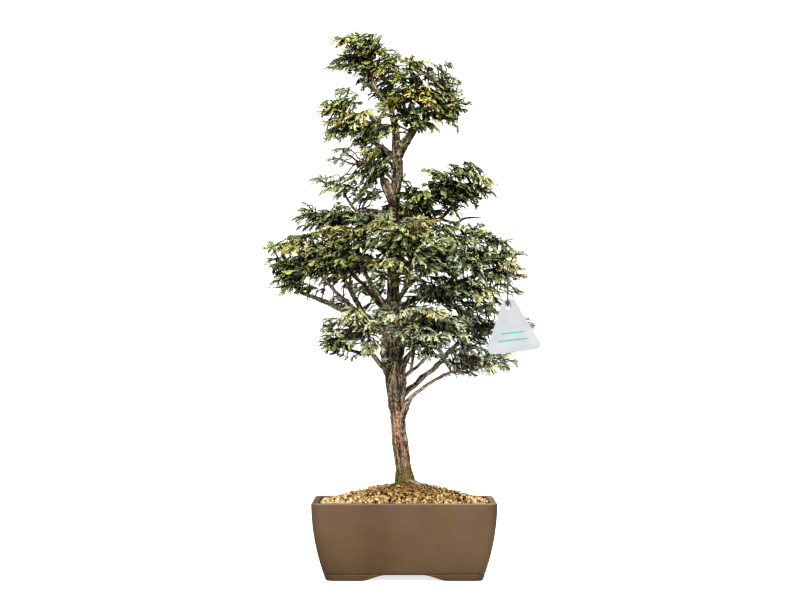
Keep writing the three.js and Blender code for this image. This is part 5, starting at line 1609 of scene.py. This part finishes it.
LEAVES = {
    "leaf_upper": leaf_finish("leaf_upper", 1.17, 4, paint(33, 41, 2), paint(76, 86, 8),
                              paint(104, 103, 20), paint(116, 95, 18), paint(120, 88, 26),
                              paint(124, 130, 104)),
    "leaf_lower": leaf_finish("leaf_lower", 1, 3.5, paint(40, 47, 12), paint(90, 98, 44),
                              paint(122, 121, 62), paint(130, 115, 48), paint(140, 114, 50),
                              paint(148, 152, 140)),
}
fan_rng = np.random.default_rng(TIER_SEED)
fan_kinds = [grown_fan(fan_rng) for _ in range(FAN_KINDS)]
for number, (name, clumps) in enumerate(CLUMPS.items()):
    tier_rng = np.random.default_rng((TIER_SEED, number))
    if name == "apex":
        roots = smooth_line(TRUNK_ROUTES[0][APEX_FROM:], 3)[:, :3]
    else:
        roots = limb_roots(LIMBS[name], 0.42)
    if name == "left":
        roots = np.vstack([roots, limb_roots(LIMBS["left_upper"], 0.6)])
    fans = np.vstack([clump_fans(tier_rng, clump, roots, TIER_PAINTED_LIGHT.get(name, 0)) for clump in clumps])
    leaf_shape, leaf_values = fan_meshes(tier_rng, fans, fan_kinds)
    leaf_values["under"] = leaf_values["under"] + BLOOM.get(name, 0)
    leaf_slot = "leaf_lower" if "low" in name else "leaf_upper"
    node_name = {"low_front_right": "low_right", "low_right": "low_right_back"}.get(name, name)
    add_piece(f"sprays_{node_name}", leaf_shape, LEAVES[leaf_slot], leaf_slot,
              [f"foliage_{node_name}"], smooth=False, **leaf_values)
    twigs = twig_stems(tier_rng, roots, fans, clumps)
    if name == "apex":
        add_wood("trunk_wood", trunk_stems + twigs, ["trunk"])
        continue
    stems = [bark_stem(tier_rng, route, *LIMB_BARK, 0.15 if i else 0.5)
             for i, route in enumerate(LIMBS[name])]
    add_wood(f"wood_{name}", stems + twigs, [f"branch_{name}"])
left_upper_stems = [bark_stem(tier_rng, route, *LIMB_BARK, 0.4) for route in LIMBS["left_upper"]]
add_wood("wood_left_upper", left_upper_stems, ["branch_left_upper"])

# ---------------------------------------------------------------------------------------------
# Studio: a plain white table under a soft overhead light, a large soft key from the left and a
# weaker fill from the right, in a white room.

FLOOR_SIZE = 14
ROOM_LIGHT = 0.06  # of the white walls, which the camera sees at full white
TREE_MIDDLE = (0, 0, 0.25)
LAMPS = {  # place and size in metres, power in watts
    "key": ((-0.8, -1.5, 1.9), 0.2, 50),
    "overhead": ((0.3, 0.2, 1.7), 0.5, 20),
    "fill": ((0.9, -1.9, 0.6), 0.5, 15),
}


def floor_finish():
    """White, and further off as bright to the camera as the wall behind it."""
    material, tree = finish_of("floor", 0.9)
    shader = tree.nodes["Principled BSDF"]
    shader.inputs["Base Color"].default_value = (0.8, 0.8, 0.8, 1)
    shader.inputs["Emission Color"].default_value = (1, 1, 1, 1)
    reach = node(tree, "VectorMath", {0: object_place(tree)}, operation="LENGTH").outputs["Value"]
    far = node(tree, "MapRange", {0: reach, 1: 0.1, 2: 0.5, 3: 0.56, 4: 1}).outputs[0]
    seen = node(tree, "LightPath").outputs["Is Camera Ray"]
    tree.links.new(maths(tree, "MULTIPLY", seen, far), shader.inputs["Emission Strength"])
    return material


def soft_light(name, place, size, power):
    """A square light that faces the middle of the tree."""
    lamp = bpy.data.lights.new(name, "AREA")
    lamp.size = size
    lamp.energy = power
    light = bpy.data.objects.new(name, lamp)
    light.location = place
    way = np.array(TREE_MIDDLE) - place
    level = math.hypot(way[0], way[1])
    light.rotation_euler = (math.atan2(level, -way[2]), 0, math.atan2(-way[0], way[1]))
    bpy.context.scene.collection.objects.link(light)


floor_mesh = bpy.data.meshes.new("floor")
half = FLOOR_SIZE / 2
corners = [(-half, -half, 0), (half, -half, 0), (half, half, 0), (-half, half, 0)]
floor_mesh.from_pydata(corners, [], [(0, 1, 2, 3)])
floor_mesh.materials.append(floor_finish())
floor = bpy.data.objects.new("floor", floor_mesh)
bpy.context.scene.collection.objects.link(floor)

for name, lamp in LAMPS.items():
    soft_light(name, *lamp)

world = bpy.data.worlds.new("room")
world.use_nodes = True
bpy.context.scene.world = world
background = world.node_tree.nodes["Background"]
seen = node(world.node_tree, "LightPath").outputs["Is Camera Ray"]
strength = maths(world.node_tree, "MULTIPLY_ADD", seen, 1 - ROOM_LIGHT, ROOM_LIGHT)
world.node_tree.links.new(strength, background.inputs["Strength"])
background.inputs["Color"].default_value = (1, 1, 1, 1)
